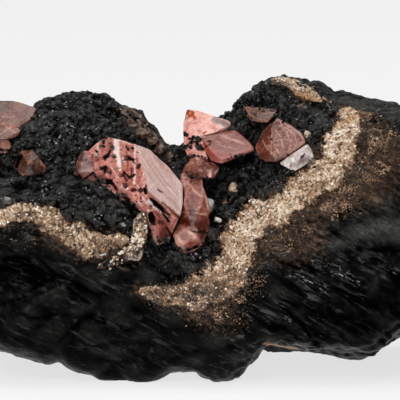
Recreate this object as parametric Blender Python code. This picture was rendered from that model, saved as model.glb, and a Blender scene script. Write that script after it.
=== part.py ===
"""Rhodochrosite on matrix: pink rhombs in a pocket of a black manganese oxide stone, with tan quartz seams.

The stone is described as it is seen from its show side, in a frame that is tipped by VIEW_TILT:
x runs to the right, depth runs away from the eye, and rise runs up at right angles to both.
Places are in millimetres as they are seen on the plane through PICTURE_MIDDLE, and true_place
moves each one to where it lies at its own depth, because what is nearer the eye looks larger.
Every piece is then turned upright and scaled to metres.
The stone rests on the plane z = 0, and the middle of its footprint box is the origin.
"""

import math

import bmesh
import bpy
import numpy as np
from mathutils import Matrix, Vector

MM = 0.001
VIEW_TILT = math.radians(8.5)
COS_TILT = math.cos(VIEW_TILT)
SIN_TILT = math.sin(VIEW_TILT)
EYE_DISTANCE = 900.0
PICTURE_MIDDLE = (-2.0, -4.95, 33.15)
GAP = 0.3

# Overall size of the stone, which flat breaks at the two ends and at the back and front hold exactly.
HALF_WIDTH = 54.0
HALF_DEPTH = 25.0

# The rim of the stone as the show side outlines it, as (x, rise), clockwise from the left end.
RIM = [
    (-55, 26), (-54, 34), (-52, 40), (-47, 45.5), (-36, 49.6), (-34, 51.4), (-31, 52.9), (-27, 54.6),
    (-22, 53.9), (-18, 51.9), (-13.4, 49.9), (-11, 46.8), (-9, 43.9), (-6, 43.2), (-2, 46.0), (2.7, 49.6),
    (5.2, 53.2), (8, 56.0), (11.6, 57.0), (14.6, 58.0), (18, 57.0), (24, 55.8), (26.5, 53.9), (36.5, 53.0),
    (38.5, 51.8), (45, 50.0), (50, 45.5), (54, 38), (55, 27), (53, 15), (47, 10), (38, 6.2), (32, 2.6),
    (22, 3.0), (11.4, 4.6), (9, 1.4), (6, -2.0), (3.3, -3.4), (0, -2.4), (-3, -0.2), (-8, -0.4), (-12, -2.6),
    (-16, -4.8), (-21, -3.8), (-26, -1.2), (-30, 1.7), (-33, 1.1), (-42, 3.6), (-49, 7.5), (-54, 15),
]

RIM_ROUND = 3.0
CREST_ROUND = 5.0
MAP_STEP = 0.5
MAP_BORDER = 20.0

# The brow: where the steep lower face of the stone turns back into the slope that carries the crystals.
BROW = [
    (-56, 30), (-42, 27.5), (-33, 26), (-24, 21.5), (-16, 21), (-9, 18.5), (-4, 14), (2, 12), (8, 17),
    (13, 24), (20, 28.5), (27, 33), (33, 39), (38, 46), (46, 48), (56, 40),
]
FACE_DEPTH = -23.8
SLOPE = 0.80
SLANT = 0.78
UNDERCUT = 0.35
UNDERCUT_RISE = 10.0

# The dull, nearly level facet along the top of the right end: where it starts, and how fast it runs back.
TOP_FACET_X = 25.0
TOP_FACET_FADE = 6.0
TOP_FACET_DEPTH = -15.8
TOP_FACET_RISE = 49.8
TOP_FACET_RUN = 5.0

# Swells (towards the eye) and hollows (away from it): x, rise, half width, half height, amount.
SWELLS = [
    (-24.5, 47.0, 11.0, 8.0, 6.5),
    (-22.5, 31.0, 9.5, 6.0, 8.5),
    (-36.0, 46.0, 6.0, 5.0, 1.5),
    (-37.0, 38.5, 8.0, 4.0, -3.0),
    (-6.5, 42.5, 6.0, 6.0, -5.0),
    (6.0, 37.0, 8.0, 4.5, 2.5),
    (26.0, 42.0, 6.0, 9.0, 1.5),
    (13.0, 54.0, 9.0, 5.0, 4.0),
    (9.0, 50.5, 4.5, 2.5, -3.0),
    (-24.0, 9.0, 16.0, 7.0, 2.0),
    (3.0, 6.0, 9.0, 6.0, 2.5),
    (28.0, 20.0, 12.0, 7.0, 1.5),
    (-9.0, 24.0, 5.0, 4.0, -2.5),
    (-56.0, 24.0, 9.0, 26.0, -9.0),
    (57.0, 28.0, 10.0, 26.0, -11.0),
]

BACK_DEPTH = 19.8
BACK_BROW = 40.0
BACK_SLOPE = 0.60
BACK_SWELLS = [
    (-20.0, 24.0, 14.0, 12.0, 3.5),
    (18.0, 16.0, 13.0, 10.0, 3.0),
    (2.0, 34.0, 9.0, 8.0, -3.5),
    (38.0, 34.0, 10.0, 9.0, 1.5),
    (-42.0, 14.0, 9.0, 9.0, -3.0),
    (-56.0, 24.0, 12.0, 30.0, -12.0),
    (56.0, 24.0, 10.0, 30.0, -9.0),
]

# The underside hangs clear of the shelf, except at swells: x, y, reach, and how far below the shelf each aims.
UNDERSIDE_HEIGHT = 2.6
UNDERSIDE_SWELLS = [
    (-16.0, -19.0, 8.0, 3.2),
    (3.3, -14.0, 6.5, 2.6),
    (-27.0, 14.0, 6.0, 1.0),
]

# A small foot that shows under the raised right half, far back: its middle and radii in the tipped frame.
FOOT_MIDDLE = (14.3, 17.0, 4.6)
FOOT_RADII = (4.4, 5.0, 4.6)

# The rays that find the stone's surface fan out from a level spine inside it.
SPINE_HALF = 32.0
SPINE_RISE = 25.0
CORE_DEPTH = 10.0
RAY_STEPS = 56
RAY_LENGTH = 62.0
RELIEF_LIMIT = 5.0
STONE_SUBDIVISIONS = 6
STONE_SHARE = 0.24

# The quartz seams as (x, rise, half width) along their middles, and how far they stand out of the stone.
SEAMS = {
    "druse_left": [
        (-52, 28.4, 0.5), (-47, 29.2, 1.4), (-42, 29.4, 1.7), (-37.4, 30.7, 1.8), (-32.8, 30.0, 2.2), (-29.8, 26.9, 2.6),
        (-26, 25.3, 2.7), (-22.5, 24.2, 2.9), (-19.5, 25.0, 1.8), (-16.4, 25.2, 1.0),
    ],
    "druse_right": [
        (28, 51.4, 2.7), (27, 46.2, 2.8), (25.6, 41.2, 3.4), (21.6, 36.8, 3.4), (16, 33.2, 2.9),
        (10.4, 29.6, 3.3), (6, 25.6, 3.7), (4.4, 20.8, 3.6), (2, 16.4, 4.2), (-3, 13.4, 3.4),
        (-9, 13.8, 2.2), (-14, 15.0, 1.1),
    ],
}
SEAM_PROUD = 0.8
SEAM_BED = 1.6
SEAM_STEP = 2.4
SEAM_ACROSS = 5
BED_OVERSHOOT = 5.0

COLOURS = {
    "manganese_oxide": ((0.012, 0.012, 0.013), 0.42),
    "druse_quartz": ((0.48, 0.31, 0.17), 0.60),
    "rhodochrosite": ((0.56, 0.23, 0.20), 0.28),
    "brown_rhodochrosite": ((0.17, 0.07, 0.05), 0.35),
    "pale_quartz": ((0.62, 0.54, 0.50), 0.22),
}

# Each crystal: its material, how far its root runs back into the stone, and one or more lumps that are
# grown together, each the convex hull of the corners that show, as (x, rise, depth).
CRYSTALS = {
    "crystal_main": ("rhodochrosite", 9.0, [
        [
            (-24.3, 43.2, -14.5), (-22.4, 44.8, -13.5), (-20.5, 45.8, -13.0), (-15.4, 44.6, -16.5),
            (-12.0, 43.2, -14.0), (-8.4, 40.0, -13.0), (-5.0, 36.2, -13.5), (-5.2, 32.9, -15.5),
            (-5.8, 29.8, -18.0), (-12.2, 34.4, -21.8), (-23.6, 39.0, -16.5), (-22.6, 36.8, -18.0),
            (-17.4, 34.4, -21.2), (-14.2, 30.8, -21.5),
        ],
        [
            (-25.2, 43.2, -14.0), (-24.0, 42.8, -15.0), (-23.4, 39.0, -17.0), (-26.2, 37.3, -17.0),
            (-27.4, 38.0, -15.5), (-26.2, 42.0, -14.0),
        ],
        [
            (-13.0, 31.4, -21.0), (-10.7, 29.8, -22.0), (-11.8, 26.6, -21.0), (-11.8, 25.2, -20.5),
            (-10.7, 24.2, -20.0), (-8.2, 25.0, -19.5), (-7.4, 27.6, -19.5), (-5.9, 30.0, -18.0),
            (-8.0, 33.5, -18.5),
        ],
    ]),
    "crystal_centre": ("rhodochrosite", 8.0, [
        [
            (-5.8, 38.8, -10.0), (-3.0, 39.2, -9.5), (-1.8, 37.4, -10.5), (-0.8, 34.6, -11.5),
            (0.0, 30.6, -13.0), (-0.6, 26.8, -14.5), (-4.4, 36.0, -13.5), (-3.6, 27.0, -17.0),
            (-6.4, 27.0, -14.0), (-6.4, 34.0, -11.0),
        ],
        [
            (-7.4, 26.8, -17.0), (-7.6, 23.7, -18.0), (-4.8, 22.3, -18.6), (-1.0, 24.4, -17.5),
            (-0.8, 26.4, -15.5), (-3.0, 27.6, -17.2), (-5.6, 26.0, -19.0),
        ],
    ]),
    "crystal_upper": ("rhodochrosite", 9.0, [
        [
            (-4.6, 51.4, -6.0), (-2.8, 51.2, -7.0), (0.6, 50.2, -7.0), (3.6, 49.2, -6.0), (4.4, 48.6, -6.0),
            (4.2, 47.7, -6.8), (1.1, 46.6, -8.0), (-1.7, 46.0, -8.6), (-4.0, 46.0, -8.0), (-5.4, 46.6, -6.5),
            (-5.4, 48.8, -6.3),
        ],
        [
            (-5.4, 46.8, -6.5), (-5.2, 43.6, -7.5), (-4.4, 41.8, -8.5), (-2.8, 38.9, -9.4), (-1.8, 46.0, -8.4),
            (-0.8, 41.4, -9.6), (0.4, 38.9, -10.6), (0.4, 37.8, -10.8), (-1.0, 37.6, -10.8),
        ],
    ]),
    "crystal_wedge": ("rhodochrosite", 9.0, [
        [
            (-1.7, 46.0, -9.0), (1.1, 46.6, -7.6), (5.0, 47.2, -6.0), (6.4, 46.0, -6.5), (8.5, 44.0, -8.5),
            (9.0, 43.0, -9.5), (5.6, 42.0, -11.5), (2.6, 41.7, -12.5), (2.3, 40.4, -12.4), (0.2, 41.0, -11.6),
            (-1.2, 43.4, -10.4), (1.6, 43.6, -12.0),
        ],
    ]),
    "crystal_right": ("rhodochrosite", 7.0, [
        [
            (13.6, 49.6, -9.6), (16.6, 47.8, -11.0), (18.2, 46.7, -12.2), (19.3, 44.6, -13.4),
            (15.2, 41.6, -15.2), (13.2, 40.8, -15.6), (11.3, 40.8, -14.6), (9.8, 41.6, -13.0),
            (9.2, 43.9, -11.4), (10.8, 47.2, -10.0), (12.4, 48.4, -11.0), (13.0, 44.4, -15.2),
        ],
    ]),
    "pale_crystal_right": ("pale_quartz", 5.0, [
        [
            (19.4, 44.4, -13.8), (20.2, 43.4, -14.2), (21.0, 41.6, -15.4), (18.8, 40.0, -16.8),
            (16.8, 38.8, -17.4), (15.2, 39.8, -16.4), (13.8, 40.5, -16.0), (15.3, 41.5, -15.8),
            (18.0, 41.8, -17.0),
        ],
    ]),
    "crystal_shadow": ("brown_rhodochrosite", 5.0, [
        [
            (6.4, 50.8, -4.6), (7.2, 52.0, -3.6), (9.0, 51.8, -4.2), (13.0, 51.4, -4.6), (13.6, 50.6, -5.4),
            (12.2, 49.6, -7.0), (11.6, 48.6, -7.6), (10.0, 48.6, -7.2), (8.2, 49.0, -6.6), (9.6, 50.0, -7.0),
        ],
    ]),
    "crystal_left": ("rhodochrosite", 7.0, [
        [
            (-46.5, 52.0, -5.0), (-42.0, 52.9, -5.0), (-38.6, 52.8, -5.4), (-35.2, 51.8, -6.4),
            (-34.4, 51.2, -7.0), (-35.8, 49.0, -9.0), (-38.0, 47.6, -10.5), (-44.0, 46.5, -11.0),
            (-48.0, 48.0, -8.0), (-41.0, 50.5, -9.0),
        ],
        [
            (-45.5, 48.6, -9.5), (-40.0, 48.8, -10.0), (-37.8, 47.2, -11.0), (-38.4, 45.8, -12.0),
            (-41.0, 45.2, -13.0), (-46.0, 45.6, -11.5),
        ],
        [
            (-45.0, 45.8, -11.5), (-40.6, 45.6, -12.4), (-39.6, 44.0, -13.0), (-40.4, 42.4, -14.0),
            (-44.5, 42.6, -13.5),
        ],
    ]),
    "crystal_brown": ("brown_rhodochrosite", 6.0, [
        [
            (-35.6, 43.4, -13.0), (-34.4, 41.8, -14.5), (-32.8, 39.9, -15.2), (-33.2, 38.0, -16.2),
            (-34.4, 37.4, -16.7), (-36.9, 37.4, -16.7), (-39.4, 39.6, -14.5), (-37.8, 43.0, -13.0),
            (-36.4, 40.4, -17.2),
        ],
    ]),
    "brown_vein_crust": ("brown_rhodochrosite", 3.0, [
        [
            (-19.8, 52.2, -4.6), (-15.8, 51.6, -3.4), (-13.6, 50.2, -3.0), (-13.6, 48.0, -5.4),
            (-16.4, 49.8, -6.2), (-19.0, 51.0, -6.6),
        ],
        [
            (-14.2, 49.6, -4.6), (-13.2, 48.6, -4.2), (-11.6, 47.0, -3.8), (-9.3, 44.6, -3.0), (-8.0, 42.8, -2.4),
            (-9.2, 42.4, -4.4), (-12.4, 45.2, -6.8), (-14.0, 47.4, -6.6),
        ],
    ]),
    "druse_top": ("druse_quartz", 3.0, [
        [
            (11.8, 57.2, -1.8), (14.0, 57.7, -1.4), (17.0, 57.2, -1.0), (17.4, 55.0, -5.6), (14.0, 56.0, -3.8),
        ],
        [
            (16.4, 57.0, -2.2), (20.0, 55.4, -4.4), (22.6, 53.0, -8.4), (21.6, 52.3, -9.4), (18.4, 53.2, -8.6),
            (16.6, 55.0, -6.8),
        ],
    ]),
    "pale_vein_crust": ("pale_quartz", 3.0, [
        [
            (-14.4, 30.6, -21.0), (-13.2, 30.2, -21.6), (-12.6, 27.4, -22.0), (-12.8, 24.8, -21.8),
            (-15.4, 22.6, -23.4), (-16.8, 21.4, -24.4), (-14.0, 21.2, -23.6), (-14.6, 26.0, -22.4),
        ],
    ]),
}
ROOT_TAPER = 0.78
SOCKET_GAP = 1.4 * GAP


def smooth_max(a, b, round_over):
    """The larger of two distances, rounded where they meet over that many millimetres."""
    near = np.maximum(round_over - np.abs(a - b), 0.0) / round_over
    return np.maximum(a, b) + near * near * round_over / 4


def outline_distance(x, rise, outline):
    """Distance to a closed outline in the (x, rise) plane, negative inside it."""
    nearest = np.full(np.shape(x), 1e9)
    inside = np.zeros(np.shape(x), bool)
    for (ax, ar), (bx, br) in zip(outline, outline[1:] + outline[:1]):
        dx, dr = bx - ax, br - ar
        along = np.clip(((x - ax) * dx + (rise - ar) * dr) / (dx * dx + dr * dr), 0, 1)
        nearest = np.minimum(nearest, np.hypot(x - ax - along * dx, rise - ar - along * dr))
        if ar != br:
            crosses = (ar > rise) != (br > rise)
            inside ^= crosses & (x < dx * (rise - ar) / dr + ax)
    return np.where(inside, -nearest, nearest)


class DistanceMap:
    """Distance to an outline, worked out once on a square mesh of places and read between them."""

    def __init__(self, outline):
        points = np.array(outline)
        self.low = points.min(axis=0) - MAP_BORDER
        self.counts = np.ceil((points.max(axis=0) + MAP_BORDER - self.low) / MAP_STEP).astype(int)
        x = self.low[0] + MAP_STEP * np.arange(self.counts[0])
        rise = self.low[1] + MAP_STEP * np.arange(self.counts[1])
        self.values = outline_distance(*np.meshgrid(x, rise, indexing="ij"), outline)

    def at(self, x, rise):
        across = np.clip((x - self.low[0]) / MAP_STEP, 0, self.counts[0] - 1.001)
        up = np.clip((rise - self.low[1]) / MAP_STEP, 0, self.counts[1] - 1.001)
        i, j = across.astype(int), up.astype(int)
        across, up = across - i, up - j
        lower = self.values[i, j] * (1 - across) + self.values[i + 1, j] * across
        upper = self.values[i, j + 1] * (1 - across) + self.values[i + 1, j + 1] * across
        return lower * (1 - up) + upper * up


RIM_MAP = DistanceMap(RIM)


def swollen(x, rise, swells):
    """Sum of rounded swells at each (x, rise)."""
    total = np.zeros(np.shape(x))
    for middle_x, middle_rise, half_x, half_rise, amount in swells:
        total += amount * np.exp(-(((x - middle_x) / half_x) ** 2) - ((rise - middle_rise) / half_rise) ** 2)
    return total


def brow_rise(x):
    return np.interp(x, [place for place, _ in BROW], [rise for _, rise in BROW])


def front_depth(x, rise):
    """Depth of the show side: a steep face below the brow, a slope that leans back above it, and swells."""
    depth = FACE_DEPTH + SLOPE * smooth_max(rise - brow_rise(x), 0.0 * rise, 4.0)
    depth += UNDERCUT * np.maximum(UNDERCUT_RISE - rise, 0.0)
    depth -= swollen(x, rise, SWELLS)
    level = TOP_FACET_DEPTH + TOP_FACET_RUN * (rise - TOP_FACET_RISE)
    level -= 25.0 * np.clip((TOP_FACET_X - x) / TOP_FACET_FADE, 0, 1)
    return smooth_max(depth, level, 2.0)


def back_depth(x, rise):
    """Depth of the back: a rough upright break that leans forward above its own brow."""
    depth = BACK_DEPTH - BACK_SLOPE * smooth_max(rise - BACK_BROW, 0.0 * rise, 6.0)
    return depth + swollen(x, rise, BACK_SWELLS)


def underside_height(x, y):
    """Height of the underside over the shelf, which dips below it at each swell."""
    height = np.full(np.shape(x), UNDERSIDE_HEIGHT)
    for swell_x, swell_y, reach, below in UNDERSIDE_SWELLS:
        height -= (UNDERSIDE_HEIGHT + below) * np.exp(-((x - swell_x) ** 2 + (y - swell_y) ** 2) / reach**2)
    return height


def picture_scale(depth):
    """How much larger a thing at that depth is than it looks on the picture plane."""
    return 1 + (depth - PICTURE_MIDDLE[1]) / EYE_DISTANCE


def true_place(x, depth, rise):
    """Where a point really lies that is seen at (x, rise) on the picture plane and has that depth."""
    scale = picture_scale(depth)
    middle_x, _, middle_rise = PICTURE_MIDDLE
    return middle_x + (x - middle_x) * scale, depth, middle_rise + (rise - middle_rise) * scale


def stone_distance(x, depth, rise):
    """Roughly the distance to the stone's smooth form, negative inside it."""
    scale = picture_scale(depth)
    seen_x = (x - PICTURE_MIDDLE[0]) / scale + PICTURE_MIDDLE[0]
    seen_rise = (rise - PICTURE_MIDDLE[2]) / scale + PICTURE_MIDDLE[2]
    front = SLANT * (front_depth(seen_x, seen_rise) - depth)
    back = SLANT * (depth - back_depth(seen_x, seen_rise))
    body = smooth_max(smooth_max(front, back, CREST_ROUND), RIM_MAP.at(seen_x, seen_rise), RIM_ROUND)
    y = depth * COS_TILT + rise * SIN_TILT
    z = rise * COS_TILT - depth * SIN_TILT
    body = smooth_max(body, underside_height(x, y) - z, 2.0)
    from_foot = (np.stack([x, depth, rise], axis=-1) - FOOT_MIDDLE) / FOOT_RADII
    foot = (np.linalg.norm(from_foot, axis=-1) - 1.0) * min(FOOT_RADII)
    return -smooth_max(-body, -foot, 1.5)


def hashed(ix, iy, iz):
    """A repeatable value from 0 to 1 at each whole-numbered place."""
    n = (ix * 374761393 + iy * 668265263 + iz * 2147483647) & 0xFFFFFFFF
    n = ((n ^ (n >> 13)) * 1274126177) & 0xFFFFFFFF
    return ((n ^ (n >> 16)) & 0xFFFFFF) / float(0xFFFFFF)


def value_noise(p, size):
    """Smooth noise from -1 to 1 with cells of that size, at points p of shape (..., 3)."""
    q = p / size
    cell = np.floor(q).astype(np.int64)
    f = q - cell
    f = f * f * (3 - 2 * f)
    total = np.zeros(p.shape[:-1])
    for corner in range(8):
        bits = np.array([corner & 1, corner >> 1 & 1, corner >> 2 & 1])
        weight = np.prod(np.where(bits == 1, f, 1 - f), axis=-1)
        total += weight * hashed(*np.moveaxis(cell + bits, -1, 0))
    return 2 * total - 1


def roughness(p):
    """Relief of the stone's skin in mm: hackles everywhere, lumps above the brow, and broken corners at the ends."""
    coarse = value_noise(p, 9.0) * 1.1 + value_noise(p + 31.0, 4.6) * 0.55
    lumps = 1.0 - np.abs(value_noise(p + 77.0, 3.4))
    above_brow = np.clip((p[..., 2] - brow_rise(p[..., 0])) / 6.0, 0, 1)
    towards_end = np.clip((np.abs(p[..., 0]) - 42.0) / 8.0, 0, 1)
    broken = (value_noise(p + 11.0, 17.0) - 0.3) * 3.2
    return coarse + above_brow * (lumps - 0.6) * 1.2 + towards_end * broken


def surface_along(start, direction):
    """How far each ray runs from inside the stone to its outermost crossing of the rough skin."""
    reach = np.linspace(0, RAY_LENGTH, RAY_STEPS)
    inside = np.empty((len(direction), RAY_STEPS), bool)
    for step, distance in enumerate(reach):
        p = start + distance * direction
        inside[:, step] = stone_distance(p[:, 0], p[:, 1], p[:, 2]) < 0
    inside[:, 0] = True
    last = RAY_STEPS - 1 - np.argmax(inside[:, ::-1], axis=1)
    low = np.maximum(reach[last] - RELIEF_LIMIT, 0)
    high = reach[last] + reach[1] + RELIEF_LIMIT
    for _ in range(12):
        middle = (low + high) / 2
        p = start + middle[:, None] * direction
        within = stone_distance(p[:, 0], p[:, 1], p[:, 2]) < roughness(p)
        low = np.where(within, middle, low)
        high = np.where(within, high, middle)
    return low


def skin_depth(x, rise):
    """Depth of the stone's rough front at true places (x, rise)."""
    start = np.stack([x, np.full(len(x), CORE_DEPTH), rise], axis=-1)
    towards_eye = np.tile([0.0, -1.0, 0.0], (len(x), 1))
    return CORE_DEPTH - surface_along(start, towards_eye)


def show_to_row():
    """The matrix from the tipped frame in millimetres to the row frame in metres."""
    return Matrix.Scale(MM, 4) @ Matrix.Rotation(-VIEW_TILT, 4, "X")


def finish_object(name, bm, collection, material=None):
    """Makes an object of a closed bmesh; without a material it is a cutter, which doesn't show."""
    bmesh.ops.triangulate(bm, faces=bm.faces)
    bmesh.ops.recalc_face_normals(bm, faces=bm.faces)
    mesh = bpy.data.meshes.new(name)
    bm.to_mesh(mesh)
    bm.free()
    obj = bpy.data.objects.new(name, mesh)
    collection.objects.link(obj)
    if material:
        mesh.materials.append(material)
    else:
        obj.hide_render = True
        obj.display_type = "WIRE"
    return obj


def tipped_object(name, bm, collection, material=None):
    """Turns a bmesh made in the tipped frame upright and in metres, and makes its object."""
    bmesh.ops.transform(bm, matrix=show_to_row(), verts=bm.verts)
    return finish_object(name, bm, collection, material)


def new_material(name):
    colour, rough = COLOURS[name]
    material = bpy.data.materials.new(name)
    material.use_nodes = True
    shader = material.node_tree.nodes["Principled BSDF"]
    shader.inputs["Base Color"].default_value = (*colour, 1.0)
    shader.inputs["Roughness"].default_value = rough
    return material


def boolean(obj, operation, other):
    """Adds an exact Boolean with one object or with a whole collection."""
    step = obj.modifiers.new(f"{operation.lower()}_{other.name}", "BOOLEAN")
    step.operation = operation
    step.solver = "EXACT"
    if isinstance(other, bpy.types.Collection):
        step.operand_type = "COLLECTION"
        step.collection = other
    else:
        step.object = other


def make_box_of_breaks(cutters):
    """The block that the stone is broken down to: its ends, its back, its front and the shelf below."""
    bm = bmesh.new()
    bmesh.ops.create_cube(bm, size=1.0)
    size = Vector((2 * HALF_WIDTH, 2 * HALF_DEPTH, 2 * HALF_WIDTH)) * MM
    bmesh.ops.scale(bm, vec=size, verts=bm.verts)
    bmesh.ops.translate(bm, vec=Vector((0, 0, size.z / 2)), verts=bm.verts)
    return finish_object("box_of_breaks", bm, cutters)


def make_stone(collection, material, cutters, sockets):
    """The matrix: an icosphere pushed out to the stone's rough form, broken flat, with a socket for each piece."""
    bm = bmesh.new()
    bmesh.ops.create_icosphere(bm, subdivisions=STONE_SUBDIVISIONS, radius=1.0)
    direction = np.array([v.co for v in bm.verts], float)
    start = direction * (SPINE_HALF, 0, 0) + (0, 0, SPINE_RISE)
    places = start + surface_along(start, direction)[:, None] * direction
    for vert, place in zip(bm.verts, places):
        vert.co = place
    stone = tipped_object("matrix", bm, collection, material)
    thin = stone.modifiers.new("thin", "DECIMATE")
    thin.ratio = STONE_SHARE
    boolean(stone, "INTERSECT", make_box_of_breaks(cutters))
    boolean(stone, "DIFFERENCE", sockets)


def seam_stations(path):
    """Even stations along a seam: place, direction ahead and half width, as seen (x, rise)."""
    points = np.array([(x, rise) for x, rise, _ in path], float)
    widths = np.array([width for _, _, width in path])
    run = np.concatenate([[0], np.cumsum(np.linalg.norm(np.diff(points, axis=0), axis=1))])
    along = np.linspace(0, run[-1], max(4, round(run[-1] / SEAM_STEP)))
    middle = np.stack([np.interp(along, run, points[:, 0]), np.interp(along, run, points[:, 1])], axis=-1)
    ahead = np.gradient(middle, axis=0)
    ahead /= np.linalg.norm(ahead, axis=1)[:, None]
    return middle, ahead, np.interp(along, run, widths)


def skin_under(seen):
    """The points of the stone's skin that are seen at an array of (x, rise)."""
    flat = seen.reshape(-1, 2)
    depth = np.full(len(flat), PICTURE_MIDDLE[1])
    for _ in range(3):
        x, _, rise = true_place(flat[:, 0], depth, flat[:, 1])
        depth = skin_depth(x, rise)
    return np.stack([x, depth, rise], axis=-1).reshape(*seen.shape[:-1], 3)


def make_seam(name, path, collection, material=None, margin=0.0):
    """A crust draped along its path on the skin of the stone; with a margin it is the bed cut for it."""
    lanes = np.linspace(-1, 1, SEAM_ACROSS)
    middle, ahead, half = seam_stations(path)
    sideways = np.stack([-ahead[:, 1], ahead[:, 0]], axis=-1)
    across = lanes[None, :, None] * half[:, None, None]
    skin = skin_under(middle[:, None, :] + across * sideways[:, None, :])
    for rim, inner in (((0,), (1,)), ((-1,), (-2,)), ((slice(None), 0), (slice(None), 1)),
                       ((slice(None), -1), (slice(None), -2))):
        outward = skin[rim] - skin[inner]
        skin[rim] += outward * margin / np.hypot(outward[:, 0], outward[:, 2])[:, None]
    proud = SEAM_PROUD * (1 - 0.75 * lanes**4) + BED_OVERSHOOT * margin
    top = skin - proud[None, :, None] * (0, 1, 0)
    bed = skin + (0, SEAM_BED + margin, 0)
    bm = bmesh.new()
    rings = [[bm.verts.new(p) for p in ring] for ring in np.concatenate([top, bed[:, ::-1]], axis=1)]
    count = len(rings[0])
    for near, far in zip(rings, rings[1:]):
        for i in range(count):
            j = (i + 1) % count
            bm.faces.new((near[i], near[j], far[j]))
            bm.faces.new((near[i], far[j], far[i]))
    bm.faces.new(rings[0])
    bm.faces.new(rings[-1][::-1])
    return tipped_object(name, bm, collection, material)


def hull_of(corners, root, margin=0.0):
    """The convex hull of a crystal's corners and of its root, which tapers back into the stone."""
    front = np.array([true_place(x, depth, rise) for x, rise, depth in corners])
    middle = front.mean(axis=0)
    back = middle + (front - middle) * ROOT_TAPER
    back[:, 1] = front[:, 1].max() + root
    points = np.concatenate([front, back])
    if margin:
        low, high = points.min(axis=0), points.max(axis=0)
        centre = (low + high) / 2
        points = centre + (points - centre) * (1 + 2 * margin / (high - low))
    bm = bmesh.new()
    for place in points:
        bm.verts.new(place)
    hull = bmesh.ops.convex_hull(bm, input=bm.verts)
    spare = {item for item in hull["geom_interior"] + hull["geom_unused"] if isinstance(item, bmesh.types.BMVert)}
    bmesh.ops.delete(bm, geom=list(spare), context="VERTS")
    return bm


def make_crystals(collection, lumps_to_join, sockets, materials):
    """Every crystal, its lumps joined, each kept a gap clear of those made before it."""
    taken = []
    for name, (material, root, lumps) in CRYSTALS.items():
        crystal = tipped_object(name, hull_of(lumps[0], root), collection, materials[material])
        for number, lump in enumerate(lumps[1:], 2):
            extra = tipped_object(f"{name}_lump_{number}", hull_of(lump, root), lumps_to_join)
            boolean(crystal, "UNION", extra)
        for socket in taken:
            boolean(crystal, "DIFFERENCE", socket)
        for number, lump in enumerate(lumps, 1):
            taken.append(tipped_object(f"{name}_socket_{number}", hull_of(lump, root, SOCKET_GAP), sockets))


def clear_scene():
    for obj in list(bpy.data.objects):
        bpy.data.objects.remove(obj)


def new_collection(name):
    collection = bpy.data.collections.new(name)
    bpy.context.scene.collection.children.link(collection)
    return collection


def main():
    clear_scene()
    specimen = new_collection("rhodochrosite_on_matrix")
    cutters = new_collection("cutters")
    sockets = new_collection("sockets")
    materials = {name: new_material(name) for name in COLOURS}
    make_crystals(specimen, cutters, sockets, materials)
    for name, path in SEAMS.items():
        make_seam(name, path, specimen, materials["druse_quartz"])
        make_seam(f"{name}_bed", path, sockets, margin=GAP)
    make_stone(specimen, materials["manganese_oxide"], cutters, sockets)


main()
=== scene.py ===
"""Rhodochrosite on matrix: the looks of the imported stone, laid out as an add-on and run as a script.

The stone is a natural one. Its skin is black manganese oxide, with seams of sugary tan quartz and a pocket of
pink rhodochrosite rhombs. Lengths in the formulas are millimetres in a frame that is tipped by VIEW_TILT:
x runs to the right, depth runs away from the eye, and rise runs up at right angles to both. Places marked
as seen are measured on the plane through PICTURE_MIDDLE. The formulas of the stone's form are those of its
solids.
"""

import math
from functools import partial

import bmesh
import bpy
import numpy as np
from bpy.props import FloatProperty, FloatVectorProperty, IntProperty, PointerProperty
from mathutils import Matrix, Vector


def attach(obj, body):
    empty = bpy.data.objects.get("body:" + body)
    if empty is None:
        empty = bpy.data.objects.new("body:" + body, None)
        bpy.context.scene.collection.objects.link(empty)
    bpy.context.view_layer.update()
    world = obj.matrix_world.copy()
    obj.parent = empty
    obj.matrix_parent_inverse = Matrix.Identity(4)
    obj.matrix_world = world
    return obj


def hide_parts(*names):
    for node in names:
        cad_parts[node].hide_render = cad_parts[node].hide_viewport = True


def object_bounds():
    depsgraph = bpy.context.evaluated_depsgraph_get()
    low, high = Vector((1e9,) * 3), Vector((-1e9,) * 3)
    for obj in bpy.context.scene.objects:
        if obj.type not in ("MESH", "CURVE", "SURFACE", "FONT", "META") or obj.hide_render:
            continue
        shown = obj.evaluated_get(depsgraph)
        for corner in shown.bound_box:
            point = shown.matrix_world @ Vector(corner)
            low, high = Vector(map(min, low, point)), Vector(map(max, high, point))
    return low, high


bl_info = {
    "name": "Rhodochrosite on Matrix",
    "version": (1, 0, 0),
    "blender": (4, 5, 0),
    "location": "View3D > Sidebar > Stone",
    "description": "Builds the skin, quartz seams and crystals of a rhodochrosite specimen over its solids",
    "category": "Object",
}

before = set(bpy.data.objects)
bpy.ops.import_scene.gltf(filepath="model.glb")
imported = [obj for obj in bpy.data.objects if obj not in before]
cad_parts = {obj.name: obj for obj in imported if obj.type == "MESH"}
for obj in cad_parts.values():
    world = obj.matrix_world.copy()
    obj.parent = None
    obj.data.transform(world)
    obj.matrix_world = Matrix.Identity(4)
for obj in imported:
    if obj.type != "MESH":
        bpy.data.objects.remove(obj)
CAD_LOW, CAD_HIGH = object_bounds()

MM = 0.001
VIEW_TILT = math.radians(8.5)
COS_TILT = math.cos(VIEW_TILT)
SIN_TILT = math.sin(VIEW_TILT)
EYE_DISTANCE = 900.0
PICTURE_MIDDLE = (-2.0, -4.95, 33.15)
PICTURE_WIDTH = 80.0
TOWARDS_EYE = np.array([0, -1.0, 0])

HALF_WIDTH = CAD_HIGH.x / MM
HALF_DEPTH = CAD_HIGH.y / MM

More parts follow.
